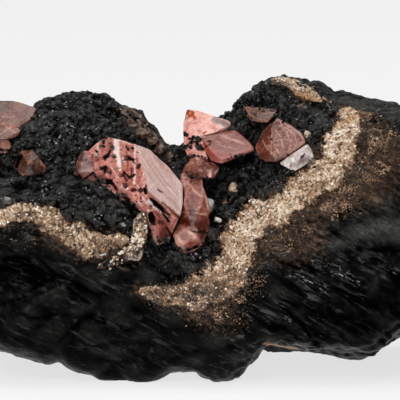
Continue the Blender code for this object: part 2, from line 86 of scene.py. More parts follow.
RIM = [
    (-55, 26), (-54, 34), (-52, 40), (-47, 45.5), (-36, 49.6), (-34, 51.4), (-31, 52.9), (-27, 54.6),
    (-22, 53.9), (-18, 51.9), (-13.4, 49.9), (-11, 46.8), (-9, 43.9), (-6, 43.2), (-2, 46.0), (2.7, 49.6),
    (5.2, 53.2), (8, 56.0), (11.6, 57.0), (14.6, 58.0), (18, 57.0), (24, 55.8), (26.5, 53.9), (36.5, 53.0),
    (38.5, 51.8), (45, 50.0), (50, 45.5), (54, 38), (55, 27), (53, 15), (47, 10), (38, 6.2), (32, 2.6),
    (22, 3.0), (11.4, 4.6), (9, 1.4), (6, -2.0), (3.3, -3.4), (0, -2.4), (-3, -0.2), (-8, -0.4), (-12, -2.6),
    (-16, -4.8), (-21, -3.8), (-26, -1.2), (-30, 1.7), (-33, 1.1), (-42, 3.6), (-49, 7.5), (-54, 15),
]
RIM_ROUND = 3.0
CREST_ROUND = 5.0
MAP_STEP = 0.5
MAP_BORDER = 20.0

BROW = [
    (-56, 30), (-42, 27.5), (-33, 26), (-24, 21.5), (-16, 21), (-9, 18.5), (-4, 14), (2, 12), (8, 17),
    (13, 24), (20, 28.5), (27, 33), (33, 39), (38, 46), (46, 48), (56, 40),
]
FACE_DEPTH = -23.8
SLOPE = 0.80
SLANT = 0.78
UNDERCUT = 0.35
UNDERCUT_RISE = 10.0
TOP_FACET_X = 25.0
TOP_FACET_FADE = 6.0
TOP_FACET_DEPTH = -15.8
TOP_FACET_RISE = 49.8
TOP_FACET_RUN = 5.0

SWELLS = [
    (-24.5, 47.0, 11.0, 8.0, 6.5),
    (-22.5, 31.0, 9.5, 6.0, 8.5),
    (-36.0, 46.0, 6.0, 5.0, 1.5),
    (-37.0, 38.5, 8.0, 4.0, -3.0),
    (-6.5, 42.5, 6.0, 6.0, -5.0),
    (6.0, 37.0, 8.0, 4.5, 2.5),
    (26.0, 42.0, 6.0, 9.0, 1.5),
    (13.0, 54.0, 9.0, 5.0, 4.0),
    (9.0, 50.5, 4.5, 2.5, -3.0),
    (-24.0, 9.0, 16.0, 7.0, 2.0),
    (3.0, 6.0, 9.0, 6.0, 2.5),
    (28.0, 20.0, 12.0, 7.0, 1.5),
    (-9.0, 24.0, 5.0, 4.0, -2.5),
    (-56.0, 24.0, 9.0, 26.0, -9.0),
    (57.0, 28.0, 10.0, 26.0, -11.0),
]
BACK_DEPTH = 19.8
BACK_BROW = 40.0
BACK_SLOPE = 0.60
BACK_SWELLS = [
    (-20.0, 24.0, 14.0, 12.0, 3.5),
    (18.0, 16.0, 13.0, 10.0, 3.0),
    (2.0, 34.0, 9.0, 8.0, -3.5),
    (38.0, 34.0, 10.0, 9.0, 1.5),
    (-42.0, 14.0, 9.0, 9.0, -3.0),
    (-56.0, 24.0, 12.0, 30.0, -12.0),
    (56.0, 24.0, 10.0, 30.0, -9.0),
]
UNDERSIDE_HEIGHT = 2.6
UNDERSIDE_SWELLS = [
    (-16.0, -19.0, 8.0, 3.2),
    (3.3, -14.0, 6.5, 2.6),
    (-27.0, 14.0, 6.0, 1.0),
]
FOOT_MIDDLE = (14.3, 17.0, 4.6)
FOOT_RADII = (4.4, 5.0, 4.6)

SPINE_HALF = 32.0
SPINE_RISE = 25.0
CORE_DEPTH = 10.0
RAY_STEPS = 56
RAY_HALVINGS = 10
RAY_LENGTH = 62.0
RELIEF_LIMIT = 5.0
BACKING = 1.5

CRUST_STEP = 0.32
CRUST_SPOKES = 44
KNOB_RINGS = 30
KNOB_SPOKES = 28
KNOB_PLANES = 14

# Seeds of the random draws.
SEAM_SEED = 40
PALE_VEIN_SEED = 60
KNOB_SEED = 80
CRUMB_SEED = 7

# The middle lines of the quartz seams, as seen (x, rise, half width).
SEAMS = {
    "druse_left": [
        (-52, 28.4, 0.5), (-47, 29.2, 1.4), (-42, 29.4, 1.7), (-37.4, 30.7, 1.8), (-32.8, 30.0, 2.2),
        (-29.8, 26.9, 2.6), (-26, 25.3, 2.7), (-22.5, 24.2, 2.9), (-19.5, 25.0, 1.8), (-16.4, 25.2, 1.0),
    ],
    "druse_right": [
        (28, 51.4, 2.7), (27, 46.2, 2.8), (25.6, 41.2, 3.4), (21.6, 36.8, 3.4), (16, 33.2, 2.9),
        (10.4, 29.6, 3.3), (6, 25.6, 3.7), (4.4, 20.8, 3.6), (2, 16.4, 4.2), (-3, 13.4, 3.4),
        (-9, 13.8, 2.2), (-14, 15.0, 1.1),
    ],
    "druse_top": [
        (11.8, 57.2, 0.4), (14.6, 57.0, 0.9), (17.4, 55.8, 1.3), (20.2, 54.2, 1.2), (22.4, 52.8, 0.4),
    ],
}

# Where single brown points are strewn beyond the seams: a line as seen (x, rise, half width), their tone, and
# how densely they lie, as a share of the seams' own grains per mm2.
FRINGES = {
    "druse_right": [
        ([(-6, 11.5, 1.4), (-1, 9.8, 2.2), (4, 9.0, 2.6), (7.5, 13, 2.2), (10, 20, 2.4), (16, 26, 2.6),
          (22, 29, 3.0)], 0.16, 1.1),
        ([(30.4, 49.6, 1.2), (33, 47.6, 2.2), (34.6, 43.6, 3.0), (32, 38.6, 2.8), (28, 34, 2.4),
          (22, 30.4, 2.0)], 0.3, 3.0),
        ([(0, 11.4, 1.0), (4, 10.6, 1.4), (6.6, 14.0, 1.2)], 0.42, 1.6),
    ],
    "druse_left": [([(-42, 26.0, 1.4), (-36, 26.4, 1.6), (-30, 23.2, 1.3), (-24, 21.0, 1.0)], 0.1, 0.4)],
    "druse_top": [([(12.6, 57.4, 0.6), (17.4, 56.2, 1.3), (21.6, 53.6, 1.3), (24.4, 52.6, 0.6)], 0.42, 3.0)],
}

# The line of the pale vein's points, as seen (x, rise, half width).
PALE_VEIN = [
    (-13.6, 30.6, 0.6), (-13.6, 28.4, 1.3), (-14.1, 25.8, 1.5), (-14.8, 23.6, 1.3), (-16.4, 22.2, 1.5),
    (-18.4, 21.0, 1.5), (-20.6, 20.4, 1.1), (-22.4, 19.6, 0.4),
]

# Where the quartz points are stained orange, as seen (x, rise, half width).
RUST = [[(16.6, 54.8, 0.4), (18.6, 53.8, 0.7), (21.0, 53.0, 0.4)], [(29.4, 49.8, 0.3), (26.4, 48.6, 0.2)]]

# Where brown iron stain has soaked into the oxide beside the seams: x, rise, half width, half height, amount.
STAINS = [
    (34.0, 43.0, 7.0, 6.0, 1.05),
    (28.0, 35.0, 11.0, 5.0, 0.8),
    (17.0, 25.0, 9.0, 6.0, 0.75),
    (3.0, 8.5, 8.0, 4.0, 0.5),
    (-30.0, 24.0, 12.0, 2.5, 0.3),
    (-16.0, 21.0, 4.0, 2.5, 0.45),
    (-11.0, 45.5, 2.6, 4.0, 0.5),
    (14.0, 47.0, 3.0, 2.0, 0.2),
    (19.5, 43.0, 2.0, 4.0, 0.45),
]

# Marks on the stone, each a list of lines as seen (x, rise, half width). Cracks and hollows are cut into it, grey
# lines are a painted sheen on facets that face up, and a glint line is only the broad place in which fine streaks
# shine.
STONE_MARKS = {
    "crack": [
        [(-42, 21.4, 0.3), (-34.4, 21.0, 0.35), (-31.2, 17.8, 0.5), (-26.8, 16.0, 0.35), (-22, 13.5, 0.2)],
        [(-42, 12.2, 0.2), (-36, 13.8, 0.3), (-30.4, 16.4, 0.4)],
        [(-39.1, 10.4, 0.2), (-35.8, 9.2, 0.3), (-31.1, 10.1, 0.2)],
        [(-30, 5.0, 0.15), (-26.8, 8.0, 0.25), (-24.6, 9.8, 0.3), (-21.6, 9.0, 0.35), (-15.8, 6.8, 0.2)],
        [(-28.6, 15.6, 0.2), (-26.8, 13.4, 0.4), (-24.6, 12.6, 0.3)],
        [(-12, 19.8, 0.2), (-8, 17.4, 0.3), (-4, 17.6, 0.3), (0, 18.6, 0.2)],
        [(14, 12.0, 0.2), (18.0, 8.6, 0.25), (21.0, 4.6, 0.15)],
        [(24, 27.4, 0.2), (30.0, 23.4, 0.3), (37, 22.8, 0.25), (44, 24.0, 0.2)],
        [(12, 30.4, 0.25), (17, 28.4, 0.3), (23, 29.0, 0.25), (28, 31.0, 0.2)],
        [(8, 24.4, 0.2), (12.6, 21.4, 0.3), (18, 19.2, 0.3), (24, 20.4, 0.2)],
    ],
    "hollow": [
        [(-44, 17.0, 2.0), (-37, 17.6, 2.2), (-33.0, 17.2, 1.0)],
        [(-4, 27.6, 0.6), (1.4, 30.6, 1.2), (3.2, 27.0, 1.0)],
        [(-9.0, 45.0, 1.0), (-7.0, 43.4, 1.4)],
    ],
    "grey_sheen": [
        [(28.8, 26.4, 1.2), (33, 26.8, 2.0), (38, 27.2, 2.4), (46, 28.6, 2.4)],
        [(23.4, 23.8, 0.7), (26.5, 24.8, 1.3), (29, 25.4, 1.0)],
        [(26, 53.4, 1.0), (33, 52.4, 1.6), (40, 51.0, 1.8), (47, 48, 2.0)],
    ],
    "glint": [
        [(16, 18.4, 0.4), (19.6, 17.0, 0.9), (22.8, 15.4, 0.5)],
        [(20.4, 20.8, 0.4), (24, 19.4, 0.9), (27.4, 18.2, 1.0), (29.6, 16.6, 0.5)],
        [(10.6, 25.4, 0.3), (13.4, 23.8, 0.5), (15.0, 22.6, 0.3)],
        [(34.4, 19.9, 0.4), (37.6, 18.7, 0.5)],
        [(13.6, 12.8, 0.2), (15.6, 9.0, 0.4)],
    ],
    "tan": [
        [(10.8, 4.4, 0.15), (14, 3.9, 0.2), (17.6, 3.4, 0.12)],
        [(18.6, 52.5, 0.15), (16.8, 51.4, 0.15)],
        [(29.0, 50.9, 0.2), (32.4, 50.4, 0.15)],
        [(0.2, 31.0, 0.3), (4.6, 33.6, 0.25)],
    ],
}

# Marks on the crystals, as seen: veil is pale, both veils and painted highlights, oxide black, warm rust coloured,
# umber dull brown, smoke grey as a clear part looks, dark the crystal's own deep colour and painted shade on lower
# parts and edges, and hole is cut into it.
CRYSTAL_MARKS = {
    "crystal_main": {
        "veil_and_highlight": [
            [(-22.4, 44.8, 0.12), (-22.6, 41.6, 0.12)],
            [(-18.6, 45.0, 0.65), (-18.8, 42.8, 0.6), (-18.3, 40.8, 0.45), (-18.0, 39.2, 0.25)],
            [(-15.0, 44.2, 0.12), (-15.1, 36.5, 0.15)],
            [(-10.8, 36.8, 0.3), (-12, 35.6, 0.2)],
            [(-8.4, 35.6, 0.4), (-6.6, 33.6, 0.2)],
            [(-13.0, 43.2, 0.1), (-13.2, 38.0, 0.1)],
            [(-12.4, 32.8, 0.5), (-11, 32.0, 0.45), (-9.8, 30.8, 0.35), (-8.4, 29.4, 0.25)],
            [(-17.4, 36.0, 0.3), (-16.6, 35.4, 0.3)],
            [(-7.4, 37.9, 0.5), (-6.2, 36.4, 0.5), (-5.8, 33.0, 0.5), (-6.0, 30.6, 0.4)],
        ],
        "oxide": [
            [(-21.0, 41.6, 0.5), (-20.2, 42.2, 0.35), (-20.0, 42.9, 0.2)],
            [(-21.7, 39.4, 0.45), (-20.8, 39.7, 0.4), (-21.0, 38.8, 0.4)],
            [(-21.9, 36.8, 0.4), (-20.4, 36.8, 0.6), (-19.4, 36.4, 0.35), (-18.6, 35.2, 0.3)],
            [(-16.4, 41.6, 0.3), (-15.4, 41.2, 0.35), (-15.0, 40.4, 0.15)],
            [(-17.2, 38.6, 0.25), (-16.0, 37.6, 0.3), (-15.2, 38.2, 0.25)],
            [(-17.0, 33.4, 0.4), (-15.6, 31.9, 0.5), (-14.2, 30.4, 0.5)],
            [(-13.0, 35.4, 0.4), (-12.8, 34.6, 0.42)],
            [(-11.8, 30.2, 0.6), (-11.4, 28.8, 0.75)],
            [(-15.8, 39.4, 0.12), (-15.6, 37.2, 0.12)],
            [(-17.6, 41.2, 0.12), (-16.2, 41.2, 0.2)],
            [(-17.4, 38.2, 0.25), (-16.6, 37.0, 0.15)],
            [(-9.4, 30.4, 0.3), (-8.0, 28.8, 0.3)],
            [(-10.5, 35.2, 0.08), (-9.5, 34.7, 0.08)],
            [(-11.6, 33.3, 0.15), (-10.2, 31.9, 0.55), (-8.8, 30.7, 0.4), (-7.4, 29.6, 0.2)],
            [(-27.0, 39.4, 0.2), (-25.6, 37.2, 0.35), (-23.6, 38.4, 0.2)],
            [(-8.6, 27.6, 0.25), (-7.8, 26.0, 0.3)],
        ],
        "warm": [
            [(-9.4, 32.6, 0.15), (-6.2, 29.6, 0.35)],
            [(-16.6, 43.4, 0.1), (-16.4, 40.4, 0.12), (-16.8, 38.6, 0.05)],
        ],
        "umber": [
            [(-25.2, 43.0, 0.35), (-26.0, 40.8, 0.45), (-26.6, 38.8, 0.5)],
            [(-26.4, 38.2, 0.5), (-24.8, 37.9, 0.8), (-23.4, 38.2, 0.6)],
            [(-23.4, 42.2, 0.1), (-23.2, 38.4, 0.15)],
        ],
        "smoke": [[(-24.9, 42.3, 0.5), (-24.7, 40.4, 1.1), (-24.7, 39.3, 1.1)]],
        "deep_and_shade": [
            [(-25.7, 43.2, 0.3), (-26.6, 40.8, 0.3), (-27.5, 38.4, 0.4)],
            [(-27.2, 37.9, 0.5), (-25.2, 37.6, 0.8), (-23.2, 37.6, 0.6)],
            [(-21.6, 37.9, 0.5), (-18.6, 35.4, 0.5), (-15.6, 32.4, 0.6), (-13.0, 30.0, 0.6)],
            [(-10.4, 30.0, 0.5), (-8.6, 28.2, 0.9), (-9.6, 25.6, 1.2)],
            [(-13.2, 28.2, 0.8), (-11.6, 26.4, 0.8)],
        ],
        "hole": [
            [(-11.7, 33.3, 0.1), (-10.2, 31.9, 0.65), (-8.8, 30.7, 0.45), (-7.2, 29.5, 0.2)],
            [(-21.4, 36.8, 0.4), (-20.0, 36.8, 0.5), (-19.6, 36.1, 0.3)],
            [(-12.9, 35.3, 0.3), (-12.8, 34.7, 0.3)],
            [(-11.8, 30.0, 0.5), (-11.4, 28.9, 0.6)],
        ],
    },
    "crystal_centre": {
        "veil_and_highlight": [
            [(-6.4, 30.8, 0.1), (-3.0, 30.6, 0.15), (-0.6, 30.2, 0.2)],
            [(-4.6, 36.8, 0.1), (-1.6, 33.8, 0.15)],
            [(-6.6, 36.2, 0.05), (-5.0, 37.6, 0.08), (-2.6, 38.2, 0.05)],
            [(-6.4, 34.4, 0.02), (-4.6, 35.4, 0.06), (-3.4, 36.6, 0.02)],
            [(-5.4, 29.4, 0.05), (-3.4, 31.2, 0.08), (-1.0, 32.2, 0.06)],
            [(-7.6, 26.4, 0.3), (-6.6, 24.6, 0.5), (-5.2, 23.6, 0.35)],
            [(-7.0, 25.8, 0.6), (-5.6, 24.2, 0.5)],
            [(-4.4, 26.8, 0.25), (-2.0, 25.2, 0.25)],
            [(-5.0, 38.6, 0.3), (-2.4, 38.9, 0.3)],
            [(-1.0, 34.0, 0.25), (-0.3, 31.4, 0.3)],
        ],
        "oxide": [[(-3.4, 26.8, 0.2), (-1.4, 27.0, 0.3)], [(-6.6, 22.9, 0.3), (-7.6, 25.4, 0.25)],
                  [(-4.6, 23.4, 0.3), (-2.6, 24.0, 0.3)]],
        "warm": [[(-5.6, 39.4, 0.2), (-3.6, 37.6, 0.2)]],
        "deep_and_shade": [
            [(-4.4, 28.6, 1.0), (-2.0, 28.4, 1.2), (-1.4, 25.6, 1.0)],
            [(-6.2, 34.6, 0.5), (-6.4, 32.0, 0.6)],
            [(-3.6, 24.6, 0.7), (-5.4, 22.6, 0.7)],
            [(-3.4, 33.8, 0.7), (-3.6, 31.6, 0.8), (-3.6, 28.6, 0.8)],
        ],
    },
    "crystal_upper": {
        "veil_and_highlight": [
            [(0.6, 49.6, 0.5), (2.6, 47.9, 0.5)],
            [(-4.8, 44.6, 0.2), (-2.6, 41.4, 0.3)],
            [(-5.4, 50.8, 0.2), (-5.3, 47.2, 0.15)],
        ],
        "oxide": [
            [(-5.2, 46.4, 0.35), (-4.7, 46.2, 0.3)],
            [(-4.2, 45.5, 0.25), (-3.4, 45.3, 0.25)],
            [(-2.6, 45.6, 0.3), (-2.4, 43.8, 0.5), (-1.4, 43.4, 0.4)],
            [(-2.2, 40.2, 0.2), (-1.9, 39.6, 0.2)],
        ],
        "warm": [
            [(-4.6, 50.8, 0.5), (-3.8, 50.3, 0.75), (-3.2, 49.7, 0.4)],
            [(-1.4, 46.4, 0.2), (-0.8, 46.8, 0.2)],
        ],
        "deep_and_shade": [
            [(-4.4, 43.2, 0.7), (-4.2, 41.6, 1.2), (-2.6, 39.8, 1.6), (-1.2, 38.6, 1.2)],
            [(-4.6, 44.6, 0.3), (-0.6, 43.6, 0.5)],
        ],
        "smoke": [[(1.2, 49.4, 0.8), (3.6, 48.2, 0.8)]],
    },
    "crystal_wedge": {
        "veil_and_highlight": [[(4.6, 42.5, 0.08), (9.0, 42.9, 0.15)], [(2.4, 46.0, 0.2), (6.6, 44.4, 0.2)]],
        "oxide": [
            [(-0.6, 44.9, 0.2), (0.2, 44.7, 0.15)],
            [(-0.9, 43.8, 0.15), (0.0, 44.2, 0.1)],
            [(-1.2, 45.3, 0.15), (-0.6, 45.5, 0.1)],
        ],
        "deep_and_shade": [
            [(-0.6, 43.6, 0.5), (1.0, 42.2, 0.7), (4.0, 41.6, 0.6), (7.6, 42.4, 0.3)],
            [(-0.6, 40.0, 0.7), (1.4, 41.4, 0.6)],
        ],
    },
    "crystal_right": {
        "veil_and_highlight": [
            [(12.4, 47.6, 0.1), (12.2, 42.4, 0.12)],
            [(13.6, 48.2, 0.05), (15.4, 46.8, 0.08), (16.2, 44.6, 0.06), (15.6, 42.6, 0.05)],
            [(14.4, 48.0, 0.05), (16.6, 46.6, 0.08), (17.4, 45.0, 0.06), (17.0, 43.6, 0.05)],
            [(13.2, 47.2, 0.05), (14.2, 45.8, 0.08), (14.6, 43.6, 0.06)],
            [(15.4, 48.0, 0.05), (17.6, 46.8, 0.08), (18.6, 45.4, 0.06)],
            [(10.6, 45.0, 0.05), (11.6, 43.2, 0.08), (13.2, 42.0, 0.06)],
        ],
        "oxide": [[(15.4, 42.1, 0.2), (16.2, 41.8, 0.2)], [(12.2, 45.4, 0.15), (12.4, 45.2, 0.15)]],
        "deep_and_shade": [
            [(10.2, 41.8, 0.5), (12.4, 41.0, 0.5), (14.6, 41.4, 0.4)],
            [(11.0, 46.4, 0.4), (12.6, 48.6, 0.4)],
        ],
    },
    "pale_crystal_right": {
        "veil_and_highlight": [[(16.4, 41.0, 0.4), (18.0, 40.2, 0.4)], [(18.8, 42.4, 0.3), (20.2, 42.2, 0.3)]],
        "oxide": [[(18.2, 41.6, 0.2), (18.9, 42.4, 0.2)]],
        "smoke": [[(16.6, 40.0, 0.6), (19.6, 41.6, 0.6)]],
    },
    "crystal_left": {
        "veil_and_highlight": [[(-42, 46.4, 0.2), (-39.6, 47.8, 0.2)], [(-41.4, 48.4, 0.15), (-39.0, 46.6, 0.2)]],
        "oxide": [[(-42, 43.2, 0.4), (-40.0, 43.0, 0.3)], [(-38.8, 45.4, 0.2), (-37.6, 46.6, 0.2)]],
        "warm": [[(-42.0, 48.2, 0.1), (-38.4, 47.6, 0.05)], [(-42.0, 43.8, 0.1), (-40.4, 44.4, 0.1)]],
    },
    "crystal_brown": {
        "veil_and_highlight": [[(-38.0, 38.4, 0.12), (-37.2, 38.2, 0.15)]],
        "oxide": [[(-36.8, 37.6, 0.5), (-33.6, 38.0, 0.4)], [(-38.8, 39.8, 0.4), (-37.8, 42.0, 0.3)]],
        "deep_and_shade": [[(-37.6, 39.2, 0.4), (-33.6, 38.6, 0.4)]],
    },
    "crystal_shadow": {
        "veil_and_highlight": [[(6.9, 51.2, 0.2), (8.6, 49.8, 0.25), (10.2, 49.2, 0.2)]],
    },
    "brown_vein_crust": {
        "oxide": [[(-16.0, 50.2, 0.3), (-14.4, 49.0, 0.5)], [(-11.6, 46.0, 0.25), (-10.0, 44.0, 0.3)]],
        "veil_and_highlight": [[(-13.0, 48.2, 0.15), (-10.4, 45.6, 0.2)]],
    },
}

# Flat cleavage faces: the plane through three seen corners (x, rise, depth), then how pale and how pitted. A pale
# face is silky, with a painted sheen where it turns to the light.
CLEAVAGES = {
    "crystal_main": [
        ((-14.8, 44.6, -16.2), (-12.2, 34.4, -21.4), (-5.8, 29.8, -17.4), 0.72, 0.0),
        ((-22.5, 43.0, -14.2), (-14.8, 44.6, -16.2), (-14.0, 32.5, -21.7), 0.0, 1.0),
        ((-25.8, 42.0, -13.6), (-24.2, 42.6, -14.8), (-25.0, 38.0, -17.0), 0.1, 0.0),
        ((-12.4, 30.0, -21.4), (-6.6, 29.0, -18.4), (-10.6, 25.0, -20.4), 0.0, 0.8),
    ],
    "crystal_upper": [
        ((-5.2, 50.5, -6.2), (3.8, 48.8, -6.0), (-1.9, 46.2, -8.2), 0.25, 0.1),
        ((-5.3, 45.0, -6.9), (-2.2, 45.0, -8.1), (-0.6, 38.6, -10.3), 0.1, 0.3),
    ],
    "crystal_wedge": [
        ((-1.4, 45.8, -9.0), (6.2, 45.8, -6.9), (2.6, 43.0, -11.6), 0.1, 0.0),
        ((0.0, 43.2, -11.2), (8.0, 43.4, -9.0), (2.4, 41.2, -12.4), 0.0, 0.2),
    ],
    "crystal_right": [
        ((13.4, 48.6, -10.6), (18.4, 45.8, -12.6), (13.6, 41.6, -15.4), 0.08, 0.4),
        ((12.6, 48.0, -11.0), (12.8, 42.0, -15.2), (9.8, 42.6, -12.6), 0.0, 0.2),
    ],
    "crystal_centre": [
        ((-5.4, 36.6, -10.9), (-1.2, 35.0, -11.6), (-3.4, 28.0, -16.4), 0.0, 0.1),
    ],
    "crystal_left": [
        ((-42.0, 51.8, -6.4), (-36.0, 50.4, -8.0), (-40.0, 48.6, -9.8), 0.0, 0.0),
        ((-43.0, 48.0, -10.0), (-38.4, 47.4, -11.0), (-41.0, 45.6, -12.6), 0.12, 0.2),
    ],
}

# Where crumbs of oxide lie on the crystals, in the pocket and along the rim: a line as seen (x, rise, half
# width), then their count and usual width in mm.
CRUMBS = [
    ([(-23.4, 38.4, 0.5), (-20.4, 35.6, 0.8), (-17.4, 33.8, 0.7), (-14.6, 30.6, 0.6)], 110, 1.0),
    ([(-5.2, 46.4, 0.15), (-4.2, 45.7, 0.2)], 9, 0.5),
    ([(-3.6, 45.5, 0.2), (-2.2, 45.4, 0.3), (-2.4, 43.8, 0.45), (-1.6, 43.0, 0.4)], 34, 0.6),
    ([(-0.6, 44.9, 0.2), (0.2, 44.6, 0.2)], 5, 0.3),
    ([(1.0, 39.6, 1.2), (5.0, 38.6, 1.8), (9.6, 38.2, 2.0), (14.0, 38.0, 1.6)], 230, 1.1),
    ([(3.4, 41.6, 0.4), (7.0, 42.0, 0.3), (4.0, 40.4, 0.5)], 40, 0.7),
    ([(-0.4, 36.4, 0.8), (3.0, 34.6, 1.6), (7.0, 33.6, 1.4)], 140, 1.1),
    ([(1.6, 31.4, 1.2), (4.6, 30.4, 1.2)], 50, 1.3),
    ([(-8.4, 23.6, 0.5), (-5.6, 21.8, 0.8), (-2.0, 22.6, 0.9), (0.4, 25.0, 0.6)], 120, 0.9),
    ([(-41.6, 41.8, 1.0), (-39.0, 42.6, 0.9), (-37.6, 44.8, 0.7), (-35.8, 47.2, 0.6)], 110, 1.0),
    ([(-39.8, 38.6, 0.7), (-36.4, 37.2, 0.7), (-33.4, 37.0, 0.8), (-32.0, 39.4, 0.7), (-33.2, 42.4, 0.6)],
     120, 0.9),
    ([(12.6, 50.2, 0.5), (15.6, 49.4, 0.7), (19.4, 48.0, 1.2), (20.8, 45.0, 0.9)], 120, 1.1),
    ([(6.2, 50.0, 0.5), (8.2, 48.4, 0.6), (11.0, 48.0, 0.5)], 60, 0.9),
    ([(-8.6, 42.6, 0.6), (-6.6, 42.0, 0.8)], 40, 1.1),
    ([(14.0, 38.9, 0.4), (18.6, 38.0, 0.5), (22.0, 40.2, 0.5)], 60, 0.8),
    ([(-15.6, 28.0, 0.5), (-15.2, 25.0, 0.5), (-16.8, 22.6, 0.5)], 50, 0.8),
    ([(-14.2, 30.8, 0.5), (-12.8, 28.6, 0.8), (-13.2, 26.0, 0.9), (-14.6, 23.6, 0.8)], 80, 0.7),
    ([(-5.0, 41.0, 0.2), (-3.6, 41.9, 0.3), (-1.6, 41.8, 0.3), (0.2, 40.6, 0.2)], 36, 0.5),
    ([(-5.0, 39.2, 0.2), (-4.2, 38.0, 0.2), (-1.4, 37.4, 0.3), (0.6, 37.6, 0.2)], 26, 0.5),
    ([(-11.6, 24.2, 0.5), (-9.0, 23.6, 0.6)], 40, 0.8),
    ([(-19.6, 52.2, 0.4), (-15.0, 50.0, 0.5), (-9.6, 44.0, 0.5)], 70, 0.8),
    ([(-35.6, 49.2, 0.7), (-33.8, 51.0, 0.7), (-30.8, 52.4, 0.7), (-27, 54.0, 0.7), (-22, 53.4, 0.7),
      (-18, 51.4, 0.7)], 170, 1.4),
    ([(-34.0, 44.0, 3.0), (-28.0, 47.0, 5.0), (-21.0, 47.6, 4.0), (-14.0, 46.4, 2.0)], 420, 1.2),
    ([(3.0, 49.4, 0.7), (5.4, 52.8, 0.7), (8, 55.4, 0.7), (11.6, 56.5, 0.5)], 90, 1.6),
    ([(6.0, 49.6, 1.6), (10.0, 53.4, 1.8), (13.6, 51.6, 1.8), (17.0, 50.0, 1.6)], 240, 1.3),
    ([(-9.4, 44.0, 0.5), (-6.0, 43.0, 0.5), (-2.6, 45.2, 0.4)], 60, 1.2),
    ([(-37.0, 33.4, 1.5), (-31.0, 34.0, 2.0), (-24.0, 32.4, 2.4), (-18.0, 29.0, 1.6)], 150, 1.0),
    ([(-12.8, 27.2, 0.5), (-11.0, 24.8, 0.5), (-8.4, 25.2, 0.5)], 60, 0.75),
    ([(-7.6, 24.2, 0.4), (-4.8, 22.4, 0.5), (-1.6, 23.4, 0.5)], 60, 0.75),
]

# Small loose-looking pieces that are grown on: name, seen x, rise, half sizes, look.
KNOBS = {
    "white_knob": (-0.2, 32.0, (0.9, 1.0, 1.5), "white_quartz"),
    "white_chip_low": (1.6, 29.2, (0.7, 0.6, 0.6), "pale_quartz"),
    "tan_chip_high": (4.7, 35.6, (1.2, 1.1, 1.5), "tan_quartz"),
    "glassy_grain_left": (-40.4, 32.9, (1.2, 0.8, 0.8), "dark_quartz"),
    "pale_grain_low_left": (-21.2, 22.2, (0.7, 0.6, 0.5), "pale_quartz"),
    "pale_grain_right": (19.4, 46.2, (0.8, 0.6, 0.7), "tan_quartz"),
    "dusky_grain_right": (20.2, 40.8, (0.9, 0.7, 1.0), "dark_quartz"),
    "tan_grain_mid": (-22.6, 23.2, (0.5, 0.5, 0.4), "tan_quartz"),
    "lobe_below_upper": (-1.9, 39.6, (3.0, 1.0, 2.2), "rose_rhodochrosite"),
    "vein_lump_1": (-16.2, 48.8, (1.1, 0.8, 0.9), "umber_quartz"),
    "vein_lump_2": (-14.8, 47.9, (1.7, 1.0, 1.3), "umber_quartz"),
    "vein_lump_3": (-13.2, 46.4, (1.5, 0.9, 1.1), "umber_quartz"),
    "vein_lump_4": (-11.6, 44.9, (1.4, 0.9, 1.0), "umber_quartz"),
    "vein_lump_5": (-9.9, 43.4, (1.3, 0.8, 1.0), "umber_quartz"),
    "vein_lump_6": (-8.4, 41.6, (1.1, 0.8, 1.1), "umber_quartz"),
}


def smooth_max(a, b, round_over):
    """The larger of a and b, plus a quarter of round_over times the square of how near they are."""
    near = np.maximum(round_over - np.abs(a - b), 0.0) / round_over
    return np.maximum(a, b) + near * near * round_over / 4


def outline_distance(x, rise, outline):
    """The least distance to the outline's edges, negative where a level line crosses an odd number of them."""
    nearest = np.full(np.shape(x), 1e9)
    inside = np.zeros(np.shape(x), bool)
    for (ax, ar), (bx, br) in zip(outline, outline[1:] + outline[:1]):
        dx, dr = bx - ax, br - ar
        along = np.clip(((x - ax) * dx + (rise - ar) * dr) / (dx * dx + dr * dr), 0, 1)
        nearest = np.minimum(nearest, np.hypot(x - ax - along * dx, rise - ar - along * dr))
        if ar != br:
            crosses = (ar > rise) != (br > rise)
            inside ^= crosses & (x < dx * (rise - ar) / dr + ax)
    return np.where(inside, -nearest, nearest)


class DistanceMap:
    """Distance to an outline, worked out once on a square mesh of places and read between them."""

    def __init__(self, outline):
        points = np.array(outline)
        self.low = points.min(axis=0) - MAP_BORDER
        self.counts = np.ceil((points.max(axis=0) + MAP_BORDER - self.low) / MAP_STEP).astype(int)
        x = self.low[0] + MAP_STEP * np.arange(self.counts[0])
        rise = self.low[1] + MAP_STEP * np.arange(self.counts[1])
        self.values = outline_distance(*np.meshgrid(x, rise, indexing="ij"), outline)

    def at(self, x, rise):
        """The distance at any places, blended in a straight line between the four nearest of the mesh."""
        across = np.clip((x - self.low[0]) / MAP_STEP, 0, self.counts[0] - 1.001)
        up = np.clip((rise - self.low[1]) / MAP_STEP, 0, self.counts[1] - 1.001)
        i, j = across.astype(int), up.astype(int)
        across, up = across - i, up - j
        lower = self.values[i, j] * (1 - across) + self.values[i + 1, j] * across
        upper = self.values[i, j + 1] * (1 - across) + self.values[i + 1, j + 1] * across
        return lower * (1 - up) + upper * up


RIM_MAP = DistanceMap(RIM)


def swollen(x, rise, swells):
    """Sum of rounded swells: each amount times exp of minus the squared, scaled distances in x and rise."""
    total = np.zeros(np.shape(x))
    for middle_x, middle_rise, half_x, half_rise, amount in swells:
        total += amount * np.exp(-(((x - middle_x) / half_x) ** 2) - ((rise - middle_rise) / half_rise) ** 2)
    return total


def brow_rise(x):
    """How high the brow stands at x, in straight lines between its points."""
    return np.interp(x, [place for place, _ in BROW], [rise for _, rise in BROW])


